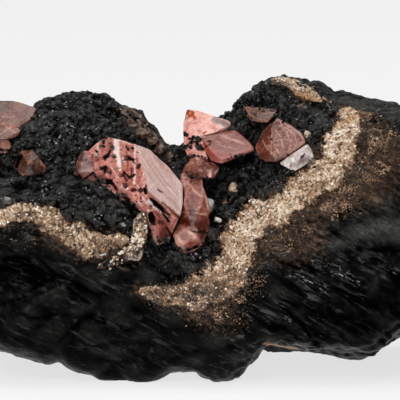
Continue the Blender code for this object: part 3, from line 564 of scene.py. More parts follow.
def front_depth(x, rise):
    """Depth of the show side: a steep face below the brow, a slope that leans back above it, and swells."""
    depth = FACE_DEPTH + SLOPE * smooth_max(rise - brow_rise(x), 0.0 * rise, 4.0)
    depth += UNDERCUT * np.maximum(UNDERCUT_RISE - rise, 0.0)
    depth -= swollen(x, rise, SWELLS)
    level = TOP_FACET_DEPTH + TOP_FACET_RUN * (rise - TOP_FACET_RISE)
    level -= 25.0 * np.clip((TOP_FACET_X - x) / TOP_FACET_FADE, 0, 1)
    return smooth_max(depth, level, 2.0)


def back_depth(x, rise):
    """Depth of the back: a rough upright break that leans forward above its own brow."""
    depth = BACK_DEPTH - BACK_SLOPE * smooth_max(rise - BACK_BROW, 0.0 * rise, 6.0)
    return depth + swollen(x, rise, BACK_SWELLS)


def underside_height(x, y):
    """Height of the underside over the shelf, which dips below it at each swell."""
    height = np.full(np.shape(x), UNDERSIDE_HEIGHT)
    for swell_x, swell_y, reach, below in UNDERSIDE_SWELLS:
        height -= (UNDERSIDE_HEIGHT + below) * np.exp(-((x - swell_x) ** 2 + (y - swell_y) ** 2) / reach**2)
    return height


def picture_scale(depth):
    """How much larger a thing at that depth is than it looks on the picture plane."""
    return 1 + (depth - PICTURE_MIDDLE[1]) / EYE_DISTANCE


def true_place(x, depth, rise):
    """Where a point really lies that is seen at (x, rise) on the picture plane and has that depth."""
    scale = picture_scale(depth)
    middle_x, _, middle_rise = PICTURE_MIDDLE
    return middle_x + (x - middle_x) * scale, depth, middle_rise + (rise - middle_rise) * scale


def seen_place(p):
    """The (x, rise) at which points p of the tipped frame are seen."""
    scale = picture_scale(p[..., 1])
    middle_x, _, middle_rise = PICTURE_MIDDLE
    return middle_x + (p[..., 0] - middle_x) / scale, middle_rise + (p[..., 2] - middle_rise) / scale


def stone_distance(p):
    """Roughly the distance to the stone's smooth form, negative inside it."""
    seen_x, seen_rise = seen_place(p)
    x, depth, rise = np.moveaxis(p, -1, 0)
    front = SLANT * (front_depth(seen_x, seen_rise) - depth)
    back = SLANT * (depth - back_depth(seen_x, seen_rise))
    body = smooth_max(smooth_max(front, back, CREST_ROUND), RIM_MAP.at(seen_x, seen_rise), RIM_ROUND)
    y = depth * COS_TILT + rise * SIN_TILT
    z = rise * COS_TILT - depth * SIN_TILT
    body = smooth_max(body, underside_height(x, y) - z, 2.0)
    from_foot = (p - FOOT_MIDDLE) / FOOT_RADII
    foot = (np.linalg.norm(from_foot, axis=-1) - 1.0) * min(FOOT_RADII)
    return -smooth_max(-body, -foot, 1.5)


def hashed(ix, iy, iz):
    """A repeatable value from 0 to 1 at each whole-numbered place."""
    n = (ix * 374761393 + iy * 668265263 + iz * 2147483647) & 0xFFFFFFFF
    n = ((n ^ (n >> 13)) * 1274126177) & 0xFFFFFFFF
    return ((n ^ (n >> 16)) & 0xFFFFFF) / float(0xFFFFFF)


def value_noise(p, size):
    """Smooth noise from -1 to 1: hashed corner values of cells of that size, blended by 3f^2 - 2f^3."""
    q = p / size
    cell = np.floor(q).astype(np.int64)
    f = q - cell
    f = f * f * (3 - 2 * f)
    total = np.zeros(p.shape[:-1])
    for corner in range(8):
        bits = np.array([corner & 1, corner >> 1 & 1, corner >> 2 & 1])
        weight = np.prod(np.where(bits == 1, f, 1 - f), axis=-1)
        total += weight * hashed(*np.moveaxis(cell + bits, -1, 0))
    return 2 * total - 1


def grain_noise(p, size):
    """Distances, in cells, from each point to its nearest and second nearest scattered seed."""
    q = p / size
    cell = np.floor(q).astype(np.int64)
    first = np.full(p.shape[:-1], 9.0)
    second = np.full(p.shape[:-1], 9.0)
    for step in np.ndindex(3, 3, 3):
        corner = cell + np.array(step) - 1
        x, y, z = np.moveaxis(corner, -1, 0)
        seed = corner + np.stack([hashed(x, y, z), hashed(x + 57, y, z), hashed(x, y + 91, z)], axis=-1)
        gap = np.linalg.norm(seed - q, axis=-1)
        second = np.minimum(second, np.maximum(first, gap))
        first = np.minimum(first, gap)
    return first, second


def above_brow(p):
    """From 0 below the brow to 1 well above it, where the oxide is crusty rather than broken."""
    return np.clip((p[..., 2] - brow_rise(p[..., 0])) / 6.0, 0, 1)


def roughness(p):
    """Relief of the skin in mm: noise of 9 and 4.6 mm, lumps above the brow, broken corners at the ends."""
    coarse = value_noise(p, 9.0) * 1.1 + value_noise(p + 31.0, 4.6) * 0.55
    lumps = 1.0 - np.abs(value_noise(p + 77.0, 3.4))
    towards_end = np.clip((np.abs(p[..., 0]) - 42.0) / 8.0, 0, 1)
    broken = (value_noise(p + 11.0, 17.0) - 0.3) * 3.2
    return coarse + above_brow(p) * (lumps - 0.6) * 1.2 + towards_end * broken


def surface_along(start, direction):
    """How far each ray runs from inside the stone to its skin: coarse steps, then halving in and out."""
    reach = np.linspace(0, RAY_LENGTH, RAY_STEPS)
    inside = np.empty((len(direction), RAY_STEPS), bool)
    for step, distance in enumerate(reach):
        inside[:, step] = stone_distance(start + distance * direction) < 0
    inside[:, 0] = True
    last = RAY_STEPS - 1 - np.argmax(inside[:, ::-1], axis=1)
    low = np.maximum(reach[last] - RELIEF_LIMIT, 0)
    high = reach[last] + reach[1] + RELIEF_LIMIT
    for _ in range(RAY_HALVINGS):
        middle = (low + high) / 2
        p = start + middle[:, None] * direction
        within = stone_distance(p) < roughness(p)
        low = np.where(within, middle, low)
        high = np.where(within, high, middle)
    return low + fine_relief(start + low[:, None] * direction)


def fine_relief(p):
    """Fine relief of the skin in mm, which stands on the coarse relief.

    Crusty oxide is rounded grains, 1 - F1 squared, of 2.8, 1.5 and 0.8 mm. Broken oxide is shallow shells, the
    difference of the two nearest seeds of stretched 5 mm cells, with hackles that run down to the right.
    """
    crust = above_brow(p)
    knots, _ = grain_noise(p + 15.0, 2.8)
    lumps, _ = grain_noise(p + 0.3 * value_noise(p, 1.0)[..., None], 1.5)
    specks, _ = grain_noise(p + 40.0, 0.8)
    crusty = 1.0 * (1 - knots**2) + 0.62 * (1 - lumps**2) + 0.30 * (1 - specks**2) - 1.25
    along = (p[..., 0] - 0.7 * p[..., 2]) * 0.82
    across = (p[..., 2] + 0.7 * p[..., 0]) * 0.82
    swept = np.stack([along / 3.2, across, p[..., 1] / 1.4], axis=-1)
    hackles = 1 - 2 * np.abs(value_noise(swept, 1.5))
    first, second = grain_noise(np.stack([p[..., 0] / 1.7, p[..., 1], p[..., 2]], axis=-1), 5.2)
    shells = np.minimum(second - first, 0.45) - 0.25
    ripple = value_noise(p + 5.0, 1.1)
    right = np.clip((p[..., 0] + 4.0) / 10.0, 0, 1)
    broken = (0.12 + 0.42 * right) * hackles + 1.25 * shells + 0.10 * ripple
    return crust * crusty + (1 - crust) * broken


def on_stone(p):
    """Whether stone lies BACKING mm behind each point, so that nothing is put in the air past its edge."""
    behind = p + (0, BACKING, 0)
    return stone_distance(behind) < roughness(behind)


def skin_under(seen):
    """The points of the stone's skin that are seen at an array of (x, rise)."""
    flat = seen.reshape(-1, 2)
    depth = np.full(len(flat), PICTURE_MIDDLE[1])
    for _ in range(3):
        x, _, rise = true_place(flat[:, 0], depth, flat[:, 1])
        start = np.stack([x, np.full(len(x), CORE_DEPTH), rise], axis=-1)
        depth = CORE_DEPTH - surface_along(start, np.tile([0.0, -1.0, 0.0], (len(x), 1)))
    return np.stack([x, depth, rise], axis=-1).reshape(*seen.shape[:-1], 3)


def on_skin(seen):
    """The points of the skin that are seen at an array of (x, rise), and whether stone lies behind each."""
    p = skin_under(seen)
    return p, on_stone(p)


def upright(p):
    """Points of the tipped frame in mm, as points of the row frame in metres."""
    x, depth, rise = np.moveaxis(p, -1, 0)
    turned = [x, depth * COS_TILT + rise * SIN_TILT, rise * COS_TILT - depth * SIN_TILT]
    return np.stack(turned, axis=-1) * MM


def tipped(p):
    """Points of the row frame in metres, as points of the tipped frame in mm."""
    x, y, z = np.moveaxis(p / MM, -1, 0)
    return np.stack([x, y * COS_TILT - z * SIN_TILT, y * SIN_TILT + z * COS_TILT], axis=-1)


def spaced_by(weight, count, low, high):
    """Count values from low to high, closer together where the weight function is larger."""
    fine = np.linspace(low, high, 2000)
    run = np.concatenate([[0], np.cumsum((weight(fine)[1:] + weight(fine)[:-1]) / 2)])
    return np.interp(np.linspace(0, run[-1], count), run, fine)


def make_mesh(name, points, faces, material, attributes=None, smooth=True):
    """One mesh object at the origin from arrays of points, triangles or quads, and per-point attributes."""
    mesh = bpy.data.meshes.new(name)
    sizes = faces.shape[1]
    mesh.vertices.add(len(points))
    mesh.vertices.foreach_set("co", np.ascontiguousarray(points, dtype=np.float32).ravel())
    mesh.loops.add(faces.size)
    mesh.loops.foreach_set("vertex_index", np.ascontiguousarray(faces, dtype=np.int32).ravel())
    mesh.polygons.add(len(faces))
    mesh.polygons.foreach_set("loop_start", np.arange(0, faces.size, sizes, dtype=np.int32))
    mesh.polygons.foreach_set("use_smooth", np.full(len(faces), smooth))
    mesh.update(calc_edges=True)
    for key, values in (attributes or {}).items():
        layer = mesh.attributes.new(key, "FLOAT", "POINT")
        layer.data.foreach_set("value", np.ascontiguousarray(values, dtype=np.float32))
    mesh.materials.append(material)
    mesh.validate()
    obj = bpy.data.objects.new(name, mesh)
    bpy.context.scene.collection.objects.link(obj)
    return obj


def globe_faces(rings, spokes):
    """Triangles of a closed grid of rings between two pole points, which are its first and last points."""
    ring = np.arange(rings - 1)[:, None]
    spoke = np.arange(spokes)[None, :]
    after = (spoke + 1) % spokes
    a = 1 + ring * spokes + spoke
    b = 1 + ring * spokes + after
    c = b + spokes
    d = a + spokes
    sides = np.stack([np.stack([a, b, c], -1), np.stack([a, c, d], -1)]).reshape(-1, 3)
    turn = spoke[0]
    last = 1 + rings * spokes
    first_cap = np.stack([np.zeros(spokes, int), 1 + after[0], 1 + turn], -1)
    base = 1 + (rings - 1) * spokes
    last_cap = np.stack([np.full(spokes, last), base + turn, base + after[0]], -1)
    return np.concatenate([first_cap, sides, last_cap])


def close_globe(grid, first, last):
    """The points of a globe: a pole, the grid's rings, and the other pole."""
    return np.concatenate([first[None], grid.reshape(-1, grid.shape[-1]), last[None]])


def outward(points, faces):
    """The faces, turned over if they enclose a negative volume."""
    a, b, c = (points[faces[:, k]] for k in range(3))
    volume = np.einsum("ij,ij->", a, np.cross(b, c))
    return faces if volume > 0 else faces[:, ::-1]


def hex_colour(text):
    """A linear colour from an sRGB hex value."""
    parts = [int(text[i:i + 2], 16) / 255 for i in (1, 3, 5)]
    return tuple(v / 12.92 if v <= 0.04045 else ((v + 0.055) / 1.055) ** 2.4 for v in parts) + (1.0,)


def set_inputs(tree, item, inputs):
    """Sets a node's inputs, by name or in order: a socket is linked, and anything else is a value."""
    for key, value in inputs.items() if isinstance(inputs, dict) else enumerate(inputs):
        if isinstance(value, bpy.types.NodeSocket):
            tree.links.new(value, item.inputs[key])
        else:
            item.inputs[key].default_value = value


def add_node(tree, kind, inputs=(), output=0, stops=(), **settings):
    """Adds a node with its settings, inputs and a ramp's stops, and returns the output that is asked for."""
    item = tree.nodes.new(f"ShaderNode{kind}")
    for key, value in settings.items():
        setattr(item, key, value)
    set_inputs(tree, item, inputs)
    if stops:
        elements = item.color_ramp.elements
        while len(elements) < len(stops):
            elements.new(0.5)
        for element, (place, colour) in zip(elements, stops):
            element.position = place
            element.color = hex_colour(colour)
    return item.outputs[output]


def new_material(name):
    """An empty node material; returns it with its tree and its Principled shader."""
    material = bpy.data.materials.new(name)
    material.use_nodes = True
    tree = material.node_tree
    return material, tree, tree.nodes["Principled BSDF"]


def per_mm(size):
    """The scale of a texture on Object coordinates whose features are that many mm across."""
    return 1 / (size * MM)


def oxide_material():
    """Manganese oxide, grown as a crust and broken: black, with bright hackles.

    Its raised tops are painted grey as light, and its gaps, cracks and hollows darker as shade. Where iron has
    soaked in it is brown in streaks. The stripes run down to the right, as the stone's fibres do. Real fibres and
    glints are hair-fine, too fine to show, so they are drawn 0.9 and 0.28 mm wide.
    """
    name = "manganese_oxide_grown_and_broken"
    if name in bpy.data.materials:
        return bpy.data.materials[name]
    material, tree, shader = new_material(name)
    node = partial(add_node, tree)
    place = node("TexCoord", output="Object")
    swept = node("Mapping", {"Vector": place, "Rotation": (0, math.radians(28), 0), "Scale": (6.0, 1.0, 1.0)},
                 vector_type="TEXTURE")
    fibres, grain, patches, streaks, spark_places, spark_grains, polish = [
        node("TexNoise", {"Vector": vector, "Scale": per_mm(size), "Detail": detail, "Roughness": rough,
                          "Distortion": bend})
        for vector, size, detail, rough, bend in (
            (swept, 0.9, 7.0, 0.66, 0.3),
            (place, 0.9, 7.0, 0.7, 0.0),
            (place, 4.5, 3.0, 0.6, 0.0),
            (swept, 0.28, 4.0, 0.6, 0.6),
            (place, 2.6, 2.0, 0.6, 0.0),
            (place, 0.5, 3.0, 0.6, 0.0),
            (place, 2.2, 5.0, 0.6, 0.0))]
    lumps = node("TexVoronoi", {"Vector": place, "Scale": per_mm(0.95), "Randomness": 1.0}, "Distance")
    crusty, high, hackle, stain, dust_and_light, grey_sheen, glint, tan = [
        node("Attribute", output="Fac", attribute_name=mark)
        for mark in ("crusty", "high", "hackle", "stain", "dust_and_light", "grey_sheen", "glint", "tan")]

    # Painted shade and light: the relief's height, low in gaps, cracks, hollows and towards the lower right, sets
    # the black.
    height_shade = node("Math", (grain, 0.9, high), operation="MULTIPLY_ADD")
    crust_height = node("Math", (lumps, -0.9, grain), operation="MULTIPLY_ADD")
    broken_height = node("Math", (grain, 0.35, fibres), operation="MULTIPLY_ADD")
    broken_height = node("Math", (broken_height, hackle), operation="MULTIPLY")
    height = node("Mix", {0: crusty, 2: broken_height, 3: crust_height}, data_type="FLOAT")
    bump = node("Bump", {"Strength": 1.0, "Distance": 0.8 * MM, "Height": height})

    # Dust, and painted light from above: grey where the bumped relief faces up, on the tops of grains and in
    # patches.
    dust_and_top_light = node("MapRange", (node("SeparateXYZ", (bump,), "Z"), 0.25, 0.8, 0.0, 1.0))
    grain_tops = node("MapRange", (grain, 0.45, 0.56, 0.05, 1.0))
    patchy = node("MapRange", (patches, 0.36, 0.56, 0.3, 1.0))
    for part in (grain_tops, dust_and_light, patchy):
        dust_and_top_light = node("Math", (dust_and_top_light, part), operation="MULTIPLY")

    # Broken fibres and the crust's worn tops shine.
    threads = node("MapRange", (fibres, 0.53, 0.64, 0.0, 0.9))
    thread_patches = node("MapRange", (patches, 0.42, 0.6, 0.1, 1.0))
    broken = node("Math", (hackle, crusty), operation="SUBTRACT")
    for part in (thread_patches, broken):
        threads = node("Math", (threads, part), operation="MULTIPLY")
    worn_tops = node("MapRange", (height_shade, 0.95, 1.25, 0.0, 0.6))
    crust_shine = node("Math", (crusty, worn_tops), operation="MULTIPLY")
    shine = node("Math", (threads, crust_shine), operation="MAXIMUM")

    # Iron has soaked in along the fibres.
    soaked = node("Math", (fibres, 0.6, stain), operation="MULTIPLY_ADD")
    soaked = node("Math", (grain, 1.1, soaked), operation="MULTIPLY_ADD")
    soaked = node("MapRange", (soaked, 1.2, 1.66, 0.0, 1.0))
    rusty = node("Math", (grain, 0.5), operation="MULTIPLY")
    rusty = node("Math", (fibres, 0.5, rusty), operation="MULTIPLY_ADD")

    # Painted sheen: the grey marks make facets that face up grey and more reflective.
    grey_grain = node("MapRange", (grain, 0.3, 0.7, 0.2, 1.0))
    greyed = node("Math", (grey_sheen, grey_grain), operation="MULTIPLY")

    # Glints are fine streaks inside the marked places, and single sparks on the crust.
    bright_streaks = node("MapRange", (streaks, 0.58, 0.68, 0.0, 0.9))
    glint = node("Math", (glint, bright_streaks), operation="MULTIPLY")
    sparks = node("Math", (spark_places, 0.4, spark_grains), operation="MULTIPLY_ADD")
    sparks = node("MapRange", (sparks, 0.87, 0.9, 0.0, 1.0))
    sparks = node("Math", (sparks, crusty), operation="MULTIPLY")
    glint = node("Math", (glint, sparks), operation="MAXIMUM")

    # Each layer covers the black as strongly as its factor says.
    # The black is painted shade and light: darkest in gaps, cracks and hollows, greyer on raised tops.
    colour = node("ValToRGB", (node("Math", (height_shade, 0.45), operation="SUBTRACT"),), stops=[
        (0.12, "#020202"), (0.45, "#0e0d0d"), (0.75, "#191918"), (1.0, "#2b2b2a")])
    brown = node("ValToRGB", (rusty,), stops=[
        (0.38, "#150e09"), (0.5, "#33241a"), (0.58, "#5e4632"), (0.68, "#957a60")])
    tan_grain = node("ValToRGB", (grain,), stops=[(0.35, "#6d4e33"), (0.6, "#c2a27a")])
    for cover, layer in (
            (dust_and_top_light, hex_colour("#6d6c6a")), (shine, hex_colour("#5c5c5b")), (soaked, brown),
            (greyed, hex_colour("#5a5957")), (glint, hex_colour("#d2d1cf")), (tan, tan_grain)):
        colour = node("Mix", {0: cover, 6: colour, 7: layer}, 2, data_type="RGBA")

    # Bare oxide has a metal's dark shine, and dust with its painted light, iron stain and tan quartz don't.
    earthy = node("Math", (soaked, dust_and_top_light), operation="MAXIMUM")
    earthy = node("Math", (earthy, tan), operation="MAXIMUM")
    set_inputs(tree, shader, {
        "Base Color": colour, "Roughness": node("MapRange", (polish, 0.3, 0.7, 0.24, 0.52)), "Normal": bump,
        "IOR": 1.55, "Specular IOR Level": 0.15,
        "Metallic": node("Math", (1.0, earthy), operation="SUBTRACT")})
    return material


def druse_material():
    """Quartz druse, grown as a crust of tiny points: tan and clear grains that catch the light one by one."""
    material, tree, shader = new_material("quartz_druse_grown")
    node = partial(add_node, tree)
    place = node("TexCoord", output="Object")
    tint, rust = [node("Attribute", output="Fac", attribute_name=mark) for mark in ("tint", "rust")]
    grains = node("TexNoise", {"Vector": place, "Scale": per_mm(0.5), "Detail": 3.0, "Roughness": 0.6})
    tint = node("Math", (grains, 0.3, tint), operation="MULTIPLY_ADD")
    tan = node("ValToRGB", (node("Math", (tint, 0.15), operation="SUBTRACT"),), stops=[
        (0.0, "#160e09"), (0.25, "#5b4230"), (0.5, "#a58264"), (0.75, "#d3b698"), (1.0, "#f3e6d6")])
    orange = node("ValToRGB", (tint,), stops=[(0.2, "#4a2a17"), (0.8, "#c4915f")])
    colour = node("Mix", {0: rust, 6: tan, 7: orange}, 2, data_type="RGBA")
    set_inputs(tree, shader, {
        "Base Color": colour, "Roughness": 0.34, "IOR": 1.54, "Subsurface Weight": 0.3,
        "Subsurface Radius": (1.0, 0.8, 0.6), "Subsurface Scale": 0.5 * MM})
    return material


def crystal_material(name, look):
    """Rhodochrosite or quartz, grown and cleaved: milky and part clear, so that it glows inside.

    Marks come from the mesh, and clouds, growth stripes and small flaws from noise. The stripes give the silky
    look of cleaved carbonate, and the flaws break the shine so that it doesn't look cast. Real growth stripes
    are too fine to show, so they are drawn 0.7 mm wide.
    """
    material, tree, shader = new_material(name)
    node = partial(add_node, tree)
    place = node("TexCoord", output="Object")
    striped = node("Mapping", {"Vector": place, "Rotation": (0, math.radians(look["streak"]), 0),
                               "Scale": (16.0, 1.0, 1.6)}, vector_type="TEXTURE")
    cloud, stripes, flaws = [
        node("TexNoise", {"Vector": vector, "Scale": per_mm(size), "Detail": detail, "Roughness": rough,
                          "Distortion": bend})
        for vector, size, detail, rough, bend in (
            (place, 3.0, 5.0, 0.62, 0.8), (striped, 0.7, 6.0, 0.62, 0.0), (place, 0.55, 6.0, 0.7, 0.0))]
    veil_and_highlight, smoke, warm, umber, deep_and_shade, pit, oxide = [
        node("Attribute", output="Fac", attribute_name=mark)
        for mark in ("veil_and_highlight", "smoke", "warm", "umber", "deep_and_shade", "pit", "oxide")]

    mottle = node("Math", (flaws, 0.5, cloud), operation="MULTIPLY_ADD")
    body = node("Math", (mottle, 0.42), operation="SUBTRACT")
    body = node("Math", (stripes, 0.35, body), operation="MULTIPLY_ADD")
    colour = node("ValToRGB", (body,), stops=[
        (0.26, look["deep"]), (0.46, look["body"]), (0.66, look["light"])])
    silky = node("MapRange", (stripes, 0.34, 0.56, 0.62, 1.0))
    # The veil mark is pale veils and painted highlights, brightest along the silky stripes.
    veil_and_highlight = node("Math", (veil_and_highlight, silky), operation="MULTIPLY")
    smoke = node("Math", (smoke, 0.85), operation="MULTIPLY")

    # Each mark covers the body as strongly as it is drawn.
    for cover, layer in (
            (veil_and_highlight, hex_colour(look["veil_and_highlight"])),
            (smoke, node("ValToRGB", (cloud,), stops=[(0.4, "#7a6460"), (0.6, "#a8928d")])),
            (warm, node("ValToRGB", (flaws,), stops=[(0.38, "#5a1c06"), (0.62, "#b4551d")])),
            (umber, node("ValToRGB", (flaws,), stops=[(0.35, "#20140e"), (0.65, "#5f4638")])),
            # The dark mark lays the deep colour on as painted shade, on the crystals' lower parts and edges.
            (deep_and_shade, node("ValToRGB", (mottle,), stops=[(0.72, look["deep"]), (0.95, look["body"])])),
            (pit, hex_colour("#3c1310")),
            (oxide, hex_colour("#0d0807"))):
        colour = node("Mix", {0: cover, 6: colour, 7: layer}, 2, data_type="RGBA")
    height = node("Math", (stripes, 0.8, flaws), operation="MULTIPLY_ADD")
    stained = node("Math", (pit, warm), operation="MAXIMUM")
    stained = node("Math", (stained, 0.6), operation="MULTIPLY")
    set_inputs(tree, shader, {
        "Base Color": colour, "Roughness": node("MapRange", (flaws, 0.3, 0.7, 0.1, 0.36)),
        "Normal": node("Bump", {"Strength": 0.55, "Distance": 0.16 * MM, "Height": height}),
        "IOR": 1.6, "Specular IOR Level": 0.35,
        "Subsurface Weight": 0.25, "Subsurface Radius": (1.0, 0.45, 0.4), "Subsurface Scale": 1.2 * MM,
        "Transmission Weight": look["clear"],
        "Metallic": node("Math", (oxide, stained), operation="MAXIMUM")})
    return material


class StoneSettings(bpy.types.PropertyGroup):
    """Sizes of the stone's skin."""

    rings: IntProperty(name="Rings", description="Rings of the skin from one end of the stone to the other",
                       default=272, min=20)
    spokes: IntProperty(name="Spokes", description="Points of the skin round each ring", default=366, min=20)


class SeamSettings(bpy.types.PropertyGroup):
    """Sizes of the quartz seams."""

    grain: FloatProperty(name="Grain", description="Usual width of a quartz point", default=0.54 * MM,
                         unit="LENGTH", min=0.0001)
    grains_per_mm2: FloatProperty(name="Grains per mm2", description="How closely the quartz points stand",
                                  default=14.0, min=0.1)
    proud: FloatProperty(name="Proud", description="How far the crust stands out of the stone",
                         default=0.6 * MM, unit="LENGTH")


class StageSettings(bpy.types.PropertyGroup):
    """The floor, lights and camera."""

    floor_colour: FloatVectorProperty(name="Floor", description="Colour of the floor", subtype="COLOR", size=4,
                                      default=hex_colour("#7C7C7B"))
    floor_glow: FloatProperty(name="Floor glow", description="Light of the floor, a white table lit from below",
                              default=0.72, min=0.0)
    top_power: FloatProperty(name="Top light", description="Power of the soft light overhead", default=15.0,
                             unit="POWER")
    front_power: FloatProperty(name="Front light", description="Power of the soft light above the camera",
                               default=7.0, unit="POWER")
    low_power: FloatProperty(name="Low light", description="Power of the soft light under the camera",
                             default=5.0, unit="POWER")
    room: FloatProperty(name="Room", description="Strength of the light from the room", default=0.12, min=0.0)


def path_gap(x, rise, path):
    """Distance from seen places to the edge of a line of varying half width, negative inside it."""
    nearest = np.full(np.shape(x), 1e9)
    for (ax, ar, aw), (bx, br, bw) in zip(path, path[1:]):
        dx, dr = bx - ax, br - ar
        along = np.clip(((x - ax) * dx + (rise - ar) * dr) / (dx * dx + dr * dr), 0, 1)
        width = aw + along * (bw - aw)
        nearest = np.minimum(nearest, np.hypot(x - ax - along * dx, rise - ar - along * dr) - width)
    return nearest


def painted(p, paths, soft):
    """How strongly each point is marked: 1 inside the lines, falling to 0 across a ragged edge."""
    x, rise = seen_place(p)
    x = x + 0.16 * value_noise(p + 13.0, 0.7)
    rise = rise + 0.16 * value_noise(p + 29.0, 0.7)
    amount = np.zeros(len(p))
    for path in paths:
        low, high = np.min(path, axis=0), np.max(path, axis=0)
        near = (x > low[0] - 3) & (x < high[0] + 3) & (rise > low[1] - 3) & (rise < high[1] + 3)
        near &= p[:, 1] < 4
        inside = np.clip(0.5 - path_gap(x[near], rise[near], path) / soft, 0, 1)
        amount[near] = np.maximum(amount[near], inside)
    return amount * np.clip((3.0 - p[:, 1]) / 3.0, 0, 1)


def stain_at(p):
    """How far iron has stained the oxide: it fades over 1.4 mm from the seams, and fills the listed places."""
    x, rise = seen_place(p)
    gap = np.min([path_gap(x, rise, path) for path in SEAMS.values()], axis=0)
    total = 0.55 * np.exp(-np.maximum(gap, 0) / 1.4) + swollen(x, rise, STAINS)
    return np.clip(total, 0, 1) * np.clip(1 - (p[:, 1] + 2.0) / 6.0, 0, 1)


def dust_and_light_at(p):
    """Dust and painted top light on the oxide: most where it is crusty, less on the right shoulder, and hardly
    below.
    """
    places = [(26.0, 27.0, 16.0, 7.0, 0.5), (36.0, 50.0, 12.0, 4.0, 0.6), (-24.0, 46.0, 12.0, 9.0, 0.15),
              (10.0, 51.0, 8.0, 6.0, -0.3), (-25.0, 31.0, 12.0, 5.0, -0.45)]
    return np.clip(0.1 + 0.62 * above_brow(p) + swollen(p[:, 0], p[:, 2], places), 0, 1)


def held_in(values, limit, margin):
    """Values squeezed into plus and minus the limit: past limit - margin, margin times tanh of the excess."""
    excess = np.maximum(np.abs(values) - (limit - margin), 0)
    return np.sign(values) * (np.abs(values) - excess + margin * np.tanh(excess / margin))


class STONE_OT_skin(bpy.types.Operator):
    """Lays the rough oxide skin over the matrix"""

    bl_idname = "stone.skin"
    bl_label = "Stone skin"

    def execute(self, context):
        settings = context.scene.stone_skin
        turns = spaced_by(lambda a: 1 + 1.7 * (np.abs(np.cos(a)) < 0.74), settings.rings, 0.03, math.pi - 0.03)
        around = spaced_by(
            lambda b: 1 + 2.0 * np.exp(-((((b - 2.3 + math.pi) % math.tau) - math.pi) / 1.1) ** 2),
            settings.spokes + 1, 0, math.tau)[:-1]
        a, b = np.meshgrid(turns, around, indexing="ij")
        direction = np.stack([-np.cos(a), np.sin(a) * np.cos(b), np.sin(a) * np.sin(b)], axis=-1)
        direction = close_globe(direction, np.array([-1.0, 0, 0]), np.array([1.0, 0, 0]))
        start = direction * (SPINE_HALF, 0, 0) + (0, 0, SPINE_RISE)
        reach = surface_along(start, direction)
        p = start + reach[:, None] * direction
        crack = painted(p, STONE_MARKS["crack"], 0.7)
        hollow = painted(p, STONE_MARKS["hollow"], 2.4)
        glint = painted(p, STONE_MARKS["glint"], 1.0)
        fine = fine_relief(p)
        low_right = np.clip((22.0 - p[:, 2]) / 8.0, 0, 1) * np.clip((p[:, 0] - 12.0) / 10.0, 0, 1)
        p = p - (0.9 * crack + 2.2 * hollow)[:, None] * direction
        points = upright(p)
        points[:, 0] = held_in(points[:, 0], HALF_WIDTH * MM, 5.0 * MM)
        points[:, 1] = held_in(points[:, 1], HALF_DEPTH * MM, 1.5 * MM)
        points[:, 2] = np.maximum(points[:, 2], 0)
        marks = {
            "stain": stain_at(p),
            "crusty": above_brow(p),
            # The high mark is the relief's height, lowered in cracks, hollows and towards the lower right, for
            # painted shade.
            "high": np.clip(0.5 + 0.8 * fine - 0.7 * crack - 0.5 * hollow - 0.35 * low_right, 0, 1),
            "hackle": (0.35 + 0.65 * np.clip((p[:, 0] + 8.0) / 12.0, 0, 1)) * (1 - 0.6 * low_right),
            "glint": glint,
            "grey_sheen": 0.8 * painted(p, STONE_MARKS["grey_sheen"], 1.6),
            "tan": painted(p, STONE_MARKS["tan"], 0.4),
            # The dust mark is dust with painted light from above, and is less in cracks as painted shade.
            "dust_and_light": dust_and_light_at(p) * np.clip(0.35 + 0.9 * fine - 0.7 * crack, 0, 1),
        }
        faces = outward(points, globe_faces(settings.rings, settings.spokes))
        skin = make_mesh("oxide_skin", points, faces, oxide_material(), marks)
        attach(skin, "root")
        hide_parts("matrix")
        return {"FINISHED"}


def seam_stations(path, count):
    """Even stations along a line: place, direction ahead and half width, as seen, and the line's length."""
    points = np.array([(x, rise) for x, rise, _ in path], float)
    widths = np.array([width for _, _, width in path])
    run = np.concatenate([[0], np.cumsum(np.linalg.norm(np.diff(points, axis=0), axis=1))])
    along = np.linspace(0, run[-1], count)
    middle = np.stack([np.interp(along, run, points[:, 0]), np.interp(along, run, points[:, 1])], axis=-1)
    ahead = np.gradient(middle, axis=0)
    ahead /= np.linalg.norm(ahead, axis=1)[:, None]
    return middle, ahead, np.interp(along, run, widths), run[-1]


def ragged(width, along, side):
    """A half width made ragged by noise with 3, 1.3 and 0.6 mm periods along each edge."""
    place = np.stack([along, side * 50.0, 0 * along], axis=-1)
    rough = 0.34 * value_noise(place, 3.0) + 0.26 * value_noise(place + 9, 1.3)
    rough += 0.14 * value_noise(place + 5, 0.6)
    return width * (1 + rough)


def crust_points(path, count, around, proud):
    """A closed crust: at each station a flat ellipse across the seam, its upper half proud of the skin.

    A point past the stone's edge is kept no further back than the points of its station that have stone behind.
    """
    middle, ahead, half, length = seam_stations(path, count)
    sideways = np.stack([-ahead[:, 1], ahead[:, 0]], axis=-1)
    turn = np.arange(around) / around * math.tau
    along = np.linspace(0, length, count)[:, None] + 0 * turn
    side = np.sign(np.cos(turn))[None, :] + 0 * along
    lane = np.cos(turn)[None, :] * ragged(half[:, None], along, side) * 0.92
    ends = np.sqrt(np.clip(np.minimum(along, length - along) / 1.5, 0.02, 1))
    seen = middle[:, None, :] + (lane * ends)[..., None] * sideways[:, None, :]
    skin = skin_under(seen)
    furthest = np.where(on_stone(skin), skin[..., 1], -np.inf).max(axis=1)
    furthest = np.where(np.isfinite(furthest), furthest, furthest.max())
    skin[..., 1] = np.minimum(skin[..., 1], furthest[:, None])
    clumps = 0.75 + 0.45 * value_noise(skin + 60.0, 1.5)
    skin[..., 1] -= np.where(np.sin(turn) > 0, proud * clumps, 1.2) * np.sin(turn)
    return skin


